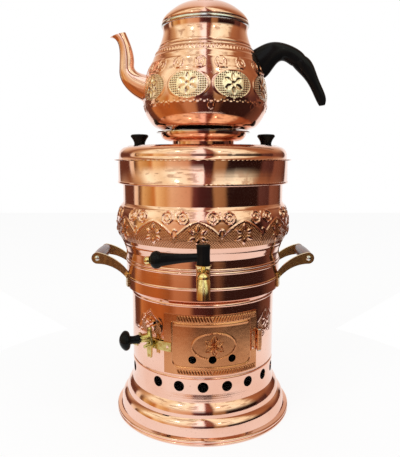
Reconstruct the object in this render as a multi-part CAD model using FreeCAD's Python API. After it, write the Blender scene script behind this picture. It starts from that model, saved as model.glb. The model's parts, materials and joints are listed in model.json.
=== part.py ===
import FreeCAD, Part
import math
import os
from FreeCAD import Vector

# A wood-fired copper samovar with its teapot. The origin is the centre of the foot's rim on
# the table, +Z is up, the tap points along -Y and the spout of the teapot along -X.
# An azimuth is counted in degrees from the front (-Y) towards the right side (+X).

# Sheet metal, fits and gaps
SHEET = 1.2              # spun copper sheet
LINER = 1.0              # thinner sheet inside
FIT = 0.05               # radial room of a pin or rivet in its hole
SEAT_GAP = 0.3           # between a piece that moves and what it rests on
RIVET_RADIUS = 1.6
RIVET_HEAD_RADIUS = 3.0
RIVET_HEAD = 1.2

# Foot
FOOT_RADIUS = 105.8
FOOT_RIM = 4.0           # flat ring that stands on the table
FOOT_BEAD = 7.0          # height of the rolled double bead
FOOT_BAND_RADIUS = 101.2
FOOT_BAND_FOOT = 8.0
FOOT_BAND_TOP_RADIUS = 99.2
FOOT_BAND_TOP = 17.3
FOOT_SHOULDER_SWELL = 0.8
FOOT_STEP_RADIUS = 93.3
FOOT_STEP_LOW = 25.4
FOOT_STEP = 1.4
FOOT_NECK_RADIUS = 86.8
FOOT_NECK_HEIGHT = 40.0
FOOT_NECK_SWELL = 1.2
FOOT_HEIGHT = 49.0

# Firebox
FIREBOX_RADIUS = 85.4
FIREBOX_HEIGHT = 99.0
LEDGE_HEIGHT = 7.0       # flare between firebox and tank
GROOVE_ABOVE_FOOT = 18.5
GROOVE_DEPTH = 1.5
GROOVE_HALF_HEIGHT = 1.6
VENT_RADIUS = 6.0
VENT_PITCH = 18.0
VENT_ABOVE_FOOT = 8.3
SEAM_AZIMUTH = -54.0     # the lapped seam has no vent
ASH_FLOOR_HEIGHT = 2.2   # its wall stays below the vents
GRATE_THICKNESS = 3.5
GRATE_ROOM = 0.7         # between grate and shell, so that it drops in
GRATE_SLOT_WIDTH = 6.0
GRATE_SLOT_PITCH = 12.0
GRATE_SLOT_MARGIN = 10.0

# Water tank
DRUM_RADIUS = 91.5
DRUM_HEIGHT = 43.0
BEAD_HALF_HEIGHT = 1.5
BEAD_RISE = 0.8
DRUM_BEADS = (12.7, 29.4, 33.1)   # heights above the tank's foot
BULGE_RADIUS = 101.7
BULGE_HEIGHT = 56.0
NECK_RADIUS = 94.0
NECK_HEIGHT = 21.0
COLLAR_RADIUS = 99.3
COLLAR_HEIGHT = 26.0
COLLAR_BEAD = 1.6
COLLAR_MOUTH_RADIUS = 92.4
FLUE_FOOT_RADIUS = 60.0
FLUE_TOP_RADIUS = 34.5
FLUE_FOOT_BELOW_TANK = 3.0
FLUE_STRAIGHT = 26.0
FLUE_ABOVE_DECK = 7.0

# Tank lid
LID_FLANGE_RADIUS = 103.4
LID_RISE = 17.0          # deck above the collar
LID_FOOT_RADIUS = 98.6
LID_DECK_RADIUS = 87.0
LID_SKIRT = 10.0
LID_SKIRT_ROOM = 0.7
LID_HOLE_ROOM = 0.7
KNOB_REACH = 74.5
KNOB_HEIGHT = 14.0
KNOB_RADIUS = 10.0
KNOB_WAIST_RADIUS = 6.4
KNOB_EDGE = 1.6          # rounding of the knob's rim

# Crown that carries the teapot
CROWN_NECK_RADIUS = 36.5
CROWN_HEIGHT = 14.6
CROWN_STEP_RADIUS = 42.4
CROWN_BOWL_RADIUS = 50.2
CROWN_BOWL_FLARE = 2.2   # the bowl's foot inside its lip
CROWN_RIM_RADIUS = 55.0
CROWN_RIM_MOUTH_RADIUS = 43.0
CROWN_PIP_RADIUS = 3.0
CROWN_PIP_HEIGHT = 1.6
CROWN_PIP_COUNT = 4

# Teapot
POT_BASE_RADIUS = 50.0
POT_BELLY_RADIUS = 71.6
POT_SHOULDER_RADIUS = 59.7
POT_MOUTH_RADIUS = 48.3
POT_HEIGHT = 114.0
POT_BELLY_HEIGHT = 32.0
POT_SHOULDER_HEIGHT = 79.0
POT_RIM_HEIGHT = 5.0
POT_RIM_PROUD = 2.0
POT_LID_RISE = 23.0
POT_LID_PROUD = 0.9      # the lid's edge past the pot's mouth
POT_LID_SKIRT = 9.0
POT_LID_SKIRT_ROOM = 0.6
FINIAL_FLANGE_RADIUS = 12.5
FINIAL_RADIUS = 10.5
FINIAL_HEIGHT = 21.5
CROWN_ASIDE = 0.7        # how far the loose crown stands to the right of the flue's axis
POT_ASIDE = 2.7          # how far the loose teapot stands to the right of the flue's axis
STRAINER_HOLE_RADIUS = 2.0
STRAINER_PITCH = 6.0
STRAINER_RING = 6
SPOUT_HEIGHT = 50.0      # middle of the spout's root above the pot's base
HANDLE_HEIGHT = 75.0     # middle of the handle's root above the pot's base
HANDLE_SCREW_LIFT = 4.0
HANDLE_SCREW_SPACING = 14.0
HANDLE_SCREW_BITE = 8.0

# Stations along the spout and the teapot's handle, from root to end:
# out from the belly, up from the root, half depth, half width, lean from level
SPOUT_STATIONS = (
    (-14.0, -5.0, 15.5, 15.0, 22.0), (9.2, 4.0, 12.7, 11.5, 24.0), (17.0, 12.1, 10.6, 9.5, 46.0),
    (19.0, 22.5, 9.2, 8.2, 70.0), (19.6, 40.6, 7.5, 7.0, 90.0), (22.4, 50.0, 7.3, 6.5, 92.0),
    (28.5, 57.4, 9.3, 6.0, 72.0))
HANDLE_STATIONS = (
    (-30.0, -3.0, 12.0, 9.0, 2.0), (-18.6, 0.0, 14.5, 10.5, 2.0), (1.7, 6.4, 17.7, 11.0, 0.0),
    (14.6, 12.7, 11.5, 9.6, -14.0), (25.8, 11.1, 9.5, 8.6, -36.0), (36.3, 4.0, 8.9, 8.2, -52.0),
    (49.0, -10.8, 7.9, 7.4, -64.0), (58.8, -28.6, 6.4, 6.0, -80.0), (64.0, -41.4, 5.3, 5.0, -82.0),
    (64.8, -46.4, 3.2, 3.0, -83.0))

# Side handles
GRIP_REACH = 122.0       # grip axis from the samovar's axis
GRIP_HEIGHT = 189.5
GRIP_LENGTH = 57.0
GRIP_RADIUS = 7.2
GRIP_END_RADIUS = 6.2
ARM_THICKNESS = 3.0
ARM_END_RADIUS = 6.6
ARM_WIDTH = 9.0
ARM_FOOT_WIDTH = 6.0
ARM_FOOT_HEIGHT = 164.0
ARM_ROOT_LIFT = 3.7      # arm meets the pad this far above its middle
ARM_RIVET_DROP = 3.4
ARM_PAD_HEIGHT = 15.0
ARM_PAD_WIDTH = 10.0
ARM_PAD_THICKNESS = 2.2
ARM_BOW = 4.6            # how far the arm arches above a straight line
GRIP_SCREW_RADIUS = 2.0
GRIP_SCREW_LENGTH = 16.0
GRIP_SCREW_HEAD_RADIUS = 3.3
GRIP_SCREW_HEAD = 1.8

# Tap
TAP_HEIGHT = 190.5
TAP_BARREL_REACH = 118.5
TAP_SPOUT_AHEAD = 13.5
TAP_SHANK_RADIUS = 5.5
TAP_SHANK_BORE = 3.4
TAP_BARREL_RADIUS = 7.0
TAP_BARREL_BELOW = 6.0
TAP_BARREL_ABOVE = 10.3
TAP_COLLAR_RADIUS = 8.2
TAP_COLLAR = 2.4
TAP_SPOUT_RADIUS = 6.7
TAP_SPOUT_BORE = 5.0
TAP_SPOUT_DROP = 21.0
TAP_LINK_RADIUS = 5.9
TAP_SPOUT_SHOULDER = 1.0
TAP_FLANGE_RADIUS = 7.6
TAP_FLANGE = 3.0
TAP_WASHER = 2.0
TAP_NUT_RADIUS = 9.0
TAP_NUT = 5.0
TAP_SHANK_INSIDE = 8.0
PLUG_RADIUS = 4.4
PLUG_PORT = 2.8
PLUG_TAIL_RADIUS = 2.4
PLUG_TAIL_PROUD = 1.2
PLUG_WASHER = 1.0
PLUG_WASHER_RADIUS = 5.4
PLUG_NUT = 3.2
PLUG_NUT_RADIUS = 4.6
PLUG_STEM_RADIUS = 2.6
PLUG_STEM = 9.0
TAP_HEAD_RADIUS = 7.0
TAP_HEAD_HEIGHT = 20.0
TAP_HEAD_EDGE = 2.0      # rounding of the head's top
LEVER_LENGTH = 52.0
LEVER_END_RADIUS = 7.0
LEVER_NECK_RADIUS = 4.2
LEVER_ABOVE_HEAD_FOOT = 7.0
LEVER_DROOP = 3.0
LEVER_TIP_RADIUS = 4.0
LEVER_TIP = 6.5

# Fire door, hinge and latch
DOOR_LEFT_AZIMUTH = -29.4
HINGE_AZIMUTH = 44.0
DOOR_EDGE_ROOM_DEG = 0.8
DOOR_BOTTOM = 71.0
DOOR_TOP = 138.0
DOOR_BORDER = 6.2
DOOR_RELIEF = 0.9
DOOR_PANEL_LEFT_AZIMUTH = -22.9
DOOR_PANEL_RIGHT_AZIMUTH = 36.5
DOOR_PANEL_BOTTOM = 79.0
DOOR_PANEL_TOP = 130.0
DOOR_FRAME = 1.8         # width of the rolled ridge round the panel
DOOR_LAP_DEG = 2.0       # how far the door laps the shell past its opening
DOOR_LAP = 4.0
DOOR_HOLE_RADIUS = 4.4
DOOR_HOLE_HEIGHT = 89.0
DOOR_HOLE_PITCH_DEG = 14.5
CARTOUCHE_HEIGHT = 105.0
CARTOUCHE_HALF_WIDTH = 23.6
CARTOUCHE_HALF_HEIGHT = 11.5
HINGE_BOTTOM = 93.0
HINGE_LENGTH = 22.0
HINGE_KNUCKLES = 5
HINGE_KNUCKLE_RADIUS = 2.8
HINGE_KNUCKLE_ROOM = 0.15
HINGE_PIN_RADIUS = 1.3
HINGE_PIN_HEAD_RADIUS = 2.2
HINGE_PIN_HEAD = 1.5
HINGE_SWING_ROOM = 4.4   # pin axis outside the shell
HINGE_LEAF = 1.0
HINGE_LEAF_WIDTH_DEG = 6.6
RIVET_SHIFT_DEG = 0.4
LATCH_AZIMUTH = -39.0
LATCH_HEIGHT = 101.0
STRAP_WIDTH = 10.0
STRAP_THICKNESS = 1.4
STRAP_RIGHT_AZIMUTH = -23.3
STRAP_PAST_STUD = 5.0
STRAP_RIVET_AZIMUTH = -26.0
STUD_RADIUS = 2.0
STUD_LENGTH = 14.0
LATCH_BAR_UP = 20.0
LATCH_BAR_DOWN = 14.0
LATCH_BAR_WIDTH = 7.5
LATCH_BAR_END_WIDTH = 5.0
LATCH_BAR_THICKNESS = 2.6
LATCH_BAR_STANDOFF = 3.4
LATCH_FORK_WIDTH = 2.0
LATCH_FORK_DEPTH = 4.0
LATCH_STEM_RADIUS = 3.8
LATCH_STEM = 10.0
LATCH_STEM_LIFT = 7.5    # above the stud
LATCH_STEM_TURN = -34.0  # the stem leans away from the door, to the side
LATCH_KNOB_LENGTH = 22.0
LATCH_KNOB_NECK_RADIUS = 5.0
LATCH_KNOB_RADIUS = 10.5
KEEPER_ROOM = 2.4        # past the end of the closed bar
KEEPER_LIFT = 0.8        # over the closed bar
KEEPER_THICKNESS = 1.2
KEEPER_LAP = 7.0
KEEPER_FOOT = 7.0
KEEPER_WIDTH = 8.0

# Heights that stack up from the table
firebox_top = FOOT_HEIGHT + FIREBOX_HEIGHT
tank_foot = firebox_top + LEDGE_HEIGHT
drum_top = tank_foot + DRUM_HEIGHT
bulge_top = drum_top + BULGE_HEIGHT
neck_top = bulge_top + NECK_HEIGHT
collar_top = neck_top + COLLAR_HEIGHT
lid_foot = collar_top + SEAT_GAP
deck_top = collar_top + LID_RISE
crown_foot = deck_top + SEAT_GAP
crown_top = crown_foot + CROWN_HEIGHT
rim_top = crown_top + SHEET
pot_foot = rim_top + CROWN_PIP_HEIGHT + SEAT_GAP
pot_top = pot_foot + POT_HEIGHT
pot_rim_top = pot_top + POT_RIM_HEIGHT
pot_lid_foot = pot_rim_top + SEAT_GAP
pot_lid_top = pot_lid_foot + POT_LID_RISE
groove_height = FOOT_HEIGHT + GROOVE_ABOVE_FOOT

AXIS = Vector(0, 0, 1)
ORIGIN = Vector(0, 0, 0)
ROUND = 360.0
QUARTER = 90.0
OVAL_POINTS = 12
CURVE_POINTS = 16


# Helpers for turned, curved and radial pieces
def at(radius, height):
    """A point of a turned outline, by radius and height."""
    return Vector(radius, 0, height)


def outline(start, *steps):
    """A wire of straight runs (two numbers), arcs (four) and smooth curves (a list of points)."""
    edges = []
    here = at(*start)
    for step in steps:
        if isinstance(step, list):
            curve = Part.BSplineCurve()
            curve.interpolate([here] + [at(*point) for point in step])
            edges.append(curve.toShape())
            here = at(*step[-1])
        elif len(step) == 4:
            end = at(*step[2:])
            edges.append(Part.Arc(here, at(*step[:2]), end).toShape())
            here = end
        else:
            end = at(*step)
            edges.append(Part.makeLine(here, end))
            here = end
    return Part.Wire(edges)


def turned(face):
    """A face beside the axis, turned into a solid."""
    solid = face.revolve(ORIGIN, AXIS, ROUND)
    if solid.Volume < 0:
        solid.reverse()
    return solid


def solid_of(start, *steps):
    """A turned solid whose outline closes on itself."""
    wire = outline(start, *steps)
    closing = Part.makeLine(wire.OrderedVertexes[-1].Point, wire.OrderedVertexes[0].Point)
    return turned(Part.Face(Part.Wire(wire.Edges + [closing])))


def dome(radius, low, top):
    """A step that closes a turned outline over the axis with a round cap."""
    ball = (radius ** 2 + (top - low) ** 2) / (2 * (top - low))
    return radius / 2, top - ball + math.sqrt(ball ** 2 - radius ** 2 / 4), 0, top


def redrawn(edge):
    """The inner run beside a smooth curve, drawn again as a smooth curve of its own."""
    if edge.Curve.TypeId != "Part::GeomOffsetCurve":
        return edge
    curve = Part.BSplineCurve()
    curve.interpolate(edge.discretize(CURVE_POINTS))
    return curve.toShape()


def sheet(wire, wall):
    """A spun sheet: the outline is its outer face, and its wall lies on the side of the axis."""
    strips = [wire.makeOffset2D(side * wall, 0, True, True, False) for side in (1, -1)]
    strip = min(strips, key=lambda strip: strip.CenterOfMass.x)
    edges = [redrawn(edge) for edge in strip.Edges]
    return turned(Part.Face(Part.Wire(Part.__sortEdges__(edges))))


def ring(inner, outer, bottom, top):
    """A plain ring or, with no inner radius, a disc."""
    disc = Part.makeCylinder(outer, top - bottom, at(0, bottom), AXIS)
    if not inner:
        return disc
    return disc.cut(Part.makeCylinder(inner, top - bottom, at(0, bottom), AXIS))


def sector(inner, outer, bottom, top, left, right):
    """A piece of a round wall between two azimuths."""
    corners = [at(inner, bottom), at(outer, bottom), at(outer, top), at(inner, top)]
    face = Part.Face(Part.makePolygon(corners + corners[:1]))
    face.rotate(ORIGIN, AXIS, left - QUARTER)
    return face.revolve(ORIGIN, AXIS, right - left)


def swing(shape, azimuth):
    """Take a piece that was built at the front round to an azimuth."""
    moved = shape.copy()
    moved.rotate(ORIGIN, AXIS, azimuth)
    return moved


def bar(radius, inner, outer, height, across=0.0):
    """A round bar at the front that points outwards, from one distance to another."""
    return Part.makeCylinder(radius, outer - inner, Vector(across, -inner, height), Vector(0, -1, 0))


def post(radius, bottom, top, reach=0.0, across=0.0):
    """An upright round bar at the front."""
    return Part.makeCylinder(radius, top - bottom, Vector(across, -reach, bottom), AXIS)


def rivet(wall_inner, wall_outer, height):
    """A rivet at the front through a round wall, with a domed head outside and a flat tail inside."""
    seat = math.sqrt(wall_inner ** 2 - RIVET_HEAD_RADIUS ** 2)
    shank = bar(RIVET_RADIUS, seat, wall_outer, height)
    tail = bar(RIVET_HEAD_RADIUS, seat - RIVET_HEAD, seat, height)
    dome_radius = (RIVET_HEAD_RADIUS ** 2 + RIVET_HEAD ** 2) / (2 * RIVET_HEAD)
    ball = Part.makeSphere(dome_radius, Vector(0, -(wall_outer + RIVET_HEAD - dome_radius), height))
    head = ball.common(bar(RIVET_HEAD_RADIUS, wall_outer, wall_outer + RIVET_HEAD, height))
    return shank.fuse([tail, head]).removeSplitter()


def rivet_hole(wall_inner, wall_outer, height):
    return bar(RIVET_RADIUS + FIT, wall_inner - SHEET, wall_outer + SHEET, height)


def hexagon(across_corners, bottom, top):
    """A six-sided nut blank on the axis."""
    points = [Vector(across_corners * math.cos(math.radians(60 * i)),
                     across_corners * math.sin(math.radians(60 * i)), bottom) for i in range(7)]
    return Part.Face(Part.makePolygon(points)).extrude(Vector(0, 0, top - bottom))


def mirrored_left(shape):
    return shape.mirror(ORIGIN, Vector(1, 0, 0))


def mirrored_back(shape):
    return shape.mirror(ORIGIN, Vector(0, 1, 0))


nodes = {}

# Foot: a spun skirt on a rolled double bead
bead = FOOT_BEAD / 4
foot_outline = outline(
    (FOOT_RADIUS - FOOT_RIM, 0),
    (FOOT_RADIUS - bead, 0),
    (FOOT_RADIUS, bead, FOOT_RADIUS - bead, 2 * bead),
    (FOOT_RADIUS, 3 * bead, FOOT_RADIUS - bead, 4 * bead),
    (FOOT_BAND_RADIUS, FOOT_BAND_FOOT),
    (FOOT_BAND_TOP_RADIUS, FOOT_BAND_TOP),
    ((FOOT_BAND_TOP_RADIUS + FOOT_STEP_RADIUS) / 2 + FOOT_SHOULDER_SWELL,
     (FOOT_BAND_TOP + FOOT_STEP_LOW) / 2 + FOOT_SHOULDER_SWELL,
     FOOT_STEP_RADIUS, FOOT_STEP_LOW),
    (FOOT_STEP_RADIUS, FOOT_STEP_LOW + FOOT_STEP),
    ((FOOT_STEP_RADIUS + FOOT_NECK_RADIUS) / 2 + FOOT_NECK_SWELL,
     (FOOT_STEP_LOW + FOOT_STEP + FOOT_NECK_HEIGHT) / 2 + FOOT_NECK_SWELL / 2,
     FOOT_NECK_RADIUS, FOOT_NECK_HEIGHT),
    (FIREBOX_RADIUS, FOOT_HEIGHT))
nodes["foot"] = sheet(foot_outline, SHEET)

# Ash floor: a shallow dish that closes the firebox above the foot
ash_radius = FIREBOX_RADIUS - SHEET - FIT
ash_floor = ring(0, ash_radius, FOOT_HEIGHT, FOOT_HEIGHT + LINER)
ash_wall = ring(ash_radius - LINER, ash_radius, FOOT_HEIGHT, FOOT_HEIGHT + ASH_FLOOR_HEIGHT)
nodes["ash_floor"] = ash_floor.fuse(ash_wall).removeSplitter()

# Firebox shell: a plain drum with a groove that carries the grate, and a flare up to the tank
ledge_radius = DRUM_RADIUS - SHEET / 2
firebox_outline = outline(
    (FIREBOX_RADIUS, FOOT_HEIGHT),
    (FIREBOX_RADIUS, groove_height - GROOVE_HALF_HEIGHT),
    (FIREBOX_RADIUS - GROOVE_DEPTH, groove_height, FIREBOX_RADIUS, groove_height + GROOVE_HALF_HEIGHT),
    (FIREBOX_RADIUS, firebox_top - BEAD_HALF_HEIGHT),
    (FIREBOX_RADIUS + BEAD_RISE, firebox_top,
     FIREBOX_RADIUS + BEAD_RISE / 2, firebox_top + BEAD_HALF_HEIGHT),
    (FIREBOX_RADIUS + 0.55 * (ledge_radius - FIREBOX_RADIUS), firebox_top + 0.68 * LEDGE_HEIGHT,
     ledge_radius, tank_foot))
firebox_shell = sheet(firebox_outline, SHEET).cut(ring(0, DRUM_RADIUS, tank_foot, drum_top))
vent_count = int(ROUND / VENT_PITCH)
for i in range(vent_count):
    azimuth = i * VENT_PITCH - ROUND / 2
    if abs(azimuth - SEAM_AZIMUTH) > VENT_PITCH / 2:
        vent = bar(VENT_RADIUS, FIREBOX_RADIUS - 2 * SHEET, FIREBOX_RADIUS + SHEET,
                   FOOT_HEIGHT + VENT_ABOVE_FOOT)
        firebox_shell = firebox_shell.cut(swing(vent, azimuth))
opening = sector(FIREBOX_RADIUS - 2 * SHEET, FIREBOX_RADIUS + SHEET,
                 DOOR_PANEL_BOTTOM + DOOR_LAP, DOOR_PANEL_TOP - DOOR_LAP,
                 DOOR_PANEL_LEFT_AZIMUTH + DOOR_LAP_DEG, DOOR_PANEL_RIGHT_AZIMUTH - DOOR_LAP_DEG)
firebox_shell = firebox_shell.cut(opening)

# Grate: a cast disc with fire slots, whose edge rests on the round bulge inside the groove
grate_radius = FIREBOX_RADIUS - SHEET - GRATE_ROOM
groove_bend = (GROOVE_HALF_HEIGHT ** 2 + GROOVE_DEPTH ** 2) / (2 * GROOVE_DEPTH)
groove_centre = FIREBOX_RADIUS - GROOVE_DEPTH + groove_bend
grate_foot = groove_height + FIT + math.sqrt(
    (groove_bend + SHEET) ** 2 - (groove_centre - grate_radius) ** 2)
grate = ring(0, grate_radius, grate_foot, grate_foot + GRATE_THICKNESS)
slot_reach = grate_radius - GRATE_SLOT_MARGIN
slot_count = int(slot_reach / GRATE_SLOT_PITCH)
for i in range(-slot_count, slot_count + 1):
    across = i * GRATE_SLOT_PITCH
    half = math.sqrt(slot_reach ** 2 - across ** 2)
    if half > GRATE_SLOT_PITCH:
        slot = Part.makeBox(GRATE_SLOT_WIDTH, 2 * half, GRATE_THICKNESS,
                            Vector(across - GRATE_SLOT_WIDTH / 2, -half, grate_foot))
        grate = grate.cut(slot)
nodes["grate"] = grate

# Water tank: drum with raised beads, embossed bulge and plain neck in one shell
tank_steps = []
for bead_height in DRUM_BEADS:
    middle = tank_foot + bead_height
    tank_steps.append((DRUM_RADIUS, middle - BEAD_HALF_HEIGHT))
    tank_steps.append((DRUM_RADIUS + BEAD_RISE, middle, DRUM_RADIUS, middle + BEAD_HALF_HEIGHT))
bulge_rise = BULGE_RADIUS - DRUM_RADIUS
bulge_back = BULGE_RADIUS - NECK_RADIUS
tank_steps += [
    (DRUM_RADIUS, drum_top),
    [(DRUM_RADIUS + 0.24 * bulge_rise, drum_top + 0.11 * BULGE_HEIGHT),
     (DRUM_RADIUS + 0.58 * bulge_rise, drum_top + 0.25 * BULGE_HEIGHT),
     (DRUM_RADIUS + 0.91 * bulge_rise, drum_top + 0.38 * BULGE_HEIGHT),
     (BULGE_RADIUS, drum_top + 0.53 * BULGE_HEIGHT),
     (BULGE_RADIUS - 0.18 * bulge_back, drum_top + 0.75 * BULGE_HEIGHT),
     (BULGE_RADIUS - 0.5 * bulge_back, drum_top + 0.88 * BULGE_HEIGHT),
     (NECK_RADIUS, bulge_top)],
    (NECK_RADIUS, collar_top - SHEET)]
tank_shell = sheet(outline((DRUM_RADIUS, tank_foot), *tank_steps), SHEET)

# Tank floor: an annular plate between the drum and the flue
floor_top = tank_foot + SHEET
nodes["tank_floor"] = ring(FLUE_FOOT_RADIUS + FIT, DRUM_RADIUS - SHEET - FIT, tank_foot, floor_top)

# Collar: a flat band round the neck, turned in over the tank's edge
collar_outline = outline(
    (NECK_RADIUS + FIT, neck_top),
    (COLLAR_RADIUS - COLLAR_BEAD / 2, neck_top),
    (COLLAR_RADIUS + COLLAR_BEAD / 2, neck_top + COLLAR_BEAD, COLLAR_RADIUS, neck_top + 2 * COLLAR_BEAD),
    (COLLAR_RADIUS, collar_top),
    (COLLAR_MOUTH_RADIUS, collar_top))
nodes["tank_collar"] = sheet(collar_outline, SHEET)

# Flue: a fire tube through the water that narrows to the crown
flue_top = deck_top + FLUE_ABOVE_DECK
nodes["flue"] = sheet(outline(
    (FLUE_FOOT_RADIUS, tank_foot - FLUE_FOOT_BELOW_TANK),
    (FLUE_FOOT_RADIUS, floor_top + SHEET),
    (FLUE_TOP_RADIUS, flue_top - FLUE_STRAIGHT),
    (FLUE_TOP_RADIUS, flue_top)), LINER)

# Tank lid: flange, low dome and flat deck, with a skirt that finds the tank's mouth
lid_flange_top = lid_foot + SHEET
lid_outline = outline(
    (LID_FLANGE_RADIUS, lid_flange_top),
    (LID_FOOT_RADIUS, lid_flange_top),
    (LID_FOOT_RADIUS - SHEET / 3, lid_foot + 0.3 * LID_RISE),
    (LID_DECK_RADIUS + 0.75 * (LID_FOOT_RADIUS - LID_DECK_RADIUS), lid_foot + 0.72 * LID_RISE,
     LID_DECK_RADIUS + 0.2 * (LID_FOOT_RADIUS - LID_DECK_RADIUS), deck_top - SHEET),
    (LID_DECK_RADIUS, deck_top),
    (FLUE_TOP_RADIUS + LID_HOLE_ROOM, deck_top))
skirt_radius = COLLAR_MOUTH_RADIUS - LID_SKIRT_ROOM
skirt = ring(skirt_radius - LINER, skirt_radius, collar_top - LID_SKIRT, deck_top - 2 * SHEET)
tank_lid = sheet(lid_outline, SHEET).fuse(skirt)

# Lid knobs: turned heat-proof knobs, each held by a screw from below
screw_radius = RIVET_RADIUS
screw_bite = 0.7 * KNOB_HEIGHT
knob = solid_of(
    (0, deck_top), (KNOB_WAIST_RADIUS, deck_top),
    (KNOB_WAIST_RADIUS, deck_top + 0.25 * KNOB_HEIGHT),
    (0.6 * KNOB_WAIST_RADIUS + 0.4 * KNOB_RADIUS, deck_top + 0.5 * KNOB_HEIGHT,
     KNOB_RADIUS, deck_top + 0.72 * KNOB_HEIGHT),
    (KNOB_RADIUS, deck_top + 0.9 * KNOB_HEIGHT, KNOB_RADIUS - KNOB_EDGE, deck_top + 0.96 * KNOB_HEIGHT),
    dome(KNOB_RADIUS - KNOB_EDGE, deck_top + 0.96 * KNOB_HEIGHT, deck_top + KNOB_HEIGHT))
knob = knob.cut(post(screw_radius + FIT, deck_top, deck_top + screw_bite + FIT))
screw = post(screw_radius, deck_top - SHEET, deck_top + screw_bite)
screw = screw.fuse(post(RIVET_HEAD_RADIUS, deck_top - SHEET - RIVET_HEAD, deck_top - SHEET))
knob_screws = []
for name, side in (("lid_knob_left", -1), ("lid_knob_right", 1)):
    place = Vector(side * KNOB_REACH, 0, 0)
    nodes[name] = knob.translated(place)
    knob_screws.append(screw.removeSplitter().translated(place))
    tank_lid = tank_lid.cut(post(screw_radius + FIT, deck_top - 2 * SHEET, deck_top + SHEET, 0, place.x))
nodes["tank_lid"] = tank_lid.removeSplitter()
nodes["lid_knob_screws"] = Part.makeCompound(knob_screws)

# Crown: a flared cup on the flue, with a tinned rim whose pips leave the smoke a way out
crown_step = crown_foot + 0.4 * CROWN_HEIGHT
nodes["crown"] = sheet(outline(
    (CROWN_NECK_RADIUS, crown_foot),
    (CROWN_NECK_RADIUS, crown_foot + 0.25 * CROWN_HEIGHT),
    (CROWN_NECK_RADIUS + SHEET / 4, crown_foot + 0.35 * CROWN_HEIGHT, CROWN_STEP_RADIUS, crown_step),
    (CROWN_BOWL_RADIUS - CROWN_BOWL_FLARE, crown_foot + 0.6 * CROWN_HEIGHT,
     CROWN_BOWL_RADIUS, crown_top - SHEET),
    (CROWN_BOWL_RADIUS, crown_top)), SHEET)
crown_rim = ring(CROWN_RIM_MOUTH_RADIUS, CROWN_RIM_RADIUS, crown_top, rim_top)
pip_reach = (CROWN_RIM_MOUTH_RADIUS + POT_BASE_RADIUS) / 2
for i in range(CROWN_PIP_COUNT):
    pip = post(CROWN_PIP_RADIUS, crown_top, rim_top + CROWN_PIP_HEIGHT, pip_reach)
    crown_rim = crown_rim.fuse(swing(pip, (i + 0.5) * ROUND / CROWN_PIP_COUNT))
nodes["crown_rim"] = crown_rim.removeSplitter()

# Teapot body: spun in one piece, base and belly and neck
pot_profile = [
    (POT_BASE_RADIUS + 0.47 * (POT_BELLY_RADIUS - POT_BASE_RADIUS), pot_foot + 0.15 * POT_BELLY_HEIGHT),
    (POT_BASE_RADIUS + 0.88 * (POT_BELLY_RADIUS - POT_BASE_RADIUS), pot_foot + 0.57 * POT_BELLY_HEIGHT),
    (POT_BELLY_RADIUS, pot_foot + POT_BELLY_HEIGHT),
    (POT_BELLY_RADIUS - 0.28 * (POT_BELLY_RADIUS - POT_SHOULDER_RADIUS),
     pot_foot + POT_BELLY_HEIGHT + 0.55 * (POT_SHOULDER_HEIGHT - POT_BELLY_HEIGHT)),
    (POT_SHOULDER_RADIUS, pot_foot + POT_SHOULDER_HEIGHT),
    (POT_MOUTH_RADIUS + 0.38 * (POT_SHOULDER_RADIUS - POT_MOUTH_RADIUS),
     pot_foot + POT_SHOULDER_HEIGHT + 0.4 * (POT_HEIGHT - POT_SHOULDER_HEIGHT)),
    (POT_MOUTH_RADIUS, pot_foot + POT_SHOULDER_HEIGHT + 0.78 * (POT_HEIGHT - POT_SHOULDER_HEIGHT)),
    (POT_MOUTH_RADIUS + SHEET / 6, pot_top)]
teapot_body = sheet(outline((0, pot_foot), (POT_BASE_RADIUS, pot_foot), pot_profile), SHEET)
teapot_body = teapot_body.cut(ring(0, POT_BELLY_RADIUS, pot_top, pot_rim_top))
pot_solid = solid_of((0, pot_foot), (POT_BASE_RADIUS, pot_foot), pot_profile, (0, pot_top))


def pot_radius(height):
    """The pot's outer radius at a height."""
    level = Part.makePlane(3 * POT_BELLY_RADIUS, 3 * POT_BELLY_RADIUS,
                           Vector(-1.5 * POT_BELLY_RADIUS, -1.5 * POT_BELLY_RADIUS, height))
    return pot_solid.common(level).BoundBox.XMax


# Pot rim: a tinned bead on the mouth
rim_middle = (pot_top + pot_rim_top) / 2
rim_edge = POT_MOUTH_RADIUS + SHEET / 3
nodes["teapot_rim"] = solid_of(
    (POT_MOUTH_RADIUS - SHEET, pot_top), (rim_edge, pot_top),
    (POT_MOUTH_RADIUS + POT_RIM_PROUD, rim_middle, rim_edge, pot_rim_top),
    (POT_MOUTH_RADIUS - SHEET, pot_rim_top))

# Spout: a raised tube from the belly, open at its beak, behind a strainer in the pot's wall
spout_root = pot_foot + SPOUT_HEIGHT
def oval(half_depth, half_width, place, lean):
    """An oval section, square to a direction that leans up from level in the plane of the side."""
    lean = math.radians(lean)
    depth = Vector(-math.sin(lean), 0, math.cos(lean)) * half_depth
    width = Vector(0, half_width, 0)
    turns = [2 * math.pi * i / OVAL_POINTS for i in range(OVAL_POINTS)]
    curve = Part.BSplineCurve()
    curve.interpolate([place + depth * math.cos(turn) + width * math.sin(turn) for turn in turns],
                      PeriodicFlag=True)
    return Part.Wire(curve.toShape())


def side_tube(stations, root, shrink=0.0):
    """Two lofts that meet at the middle station, on the +X side of the pot."""
    wires = []
    for out, up, half_depth, half_width, lean in stations:
        place = Vector(POT_BELLY_RADIUS + out, 0, root + up)
        wires.append(oval(half_depth - shrink, half_width - shrink, place, lean))
    middle = len(wires) // 2
    return Part.makeLoft(wires[:middle + 1], True).fuse(Part.makeLoft(wires[middle:], True))


spout = side_tube(SPOUT_STATIONS, spout_root).cut(side_tube(SPOUT_STATIONS, spout_root, SHEET))
spout = spout.cut(pot_solid)
nodes["teapot_spout"] = mirrored_left(max(spout.Solids, key=lambda piece: piece.Volume))

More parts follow.
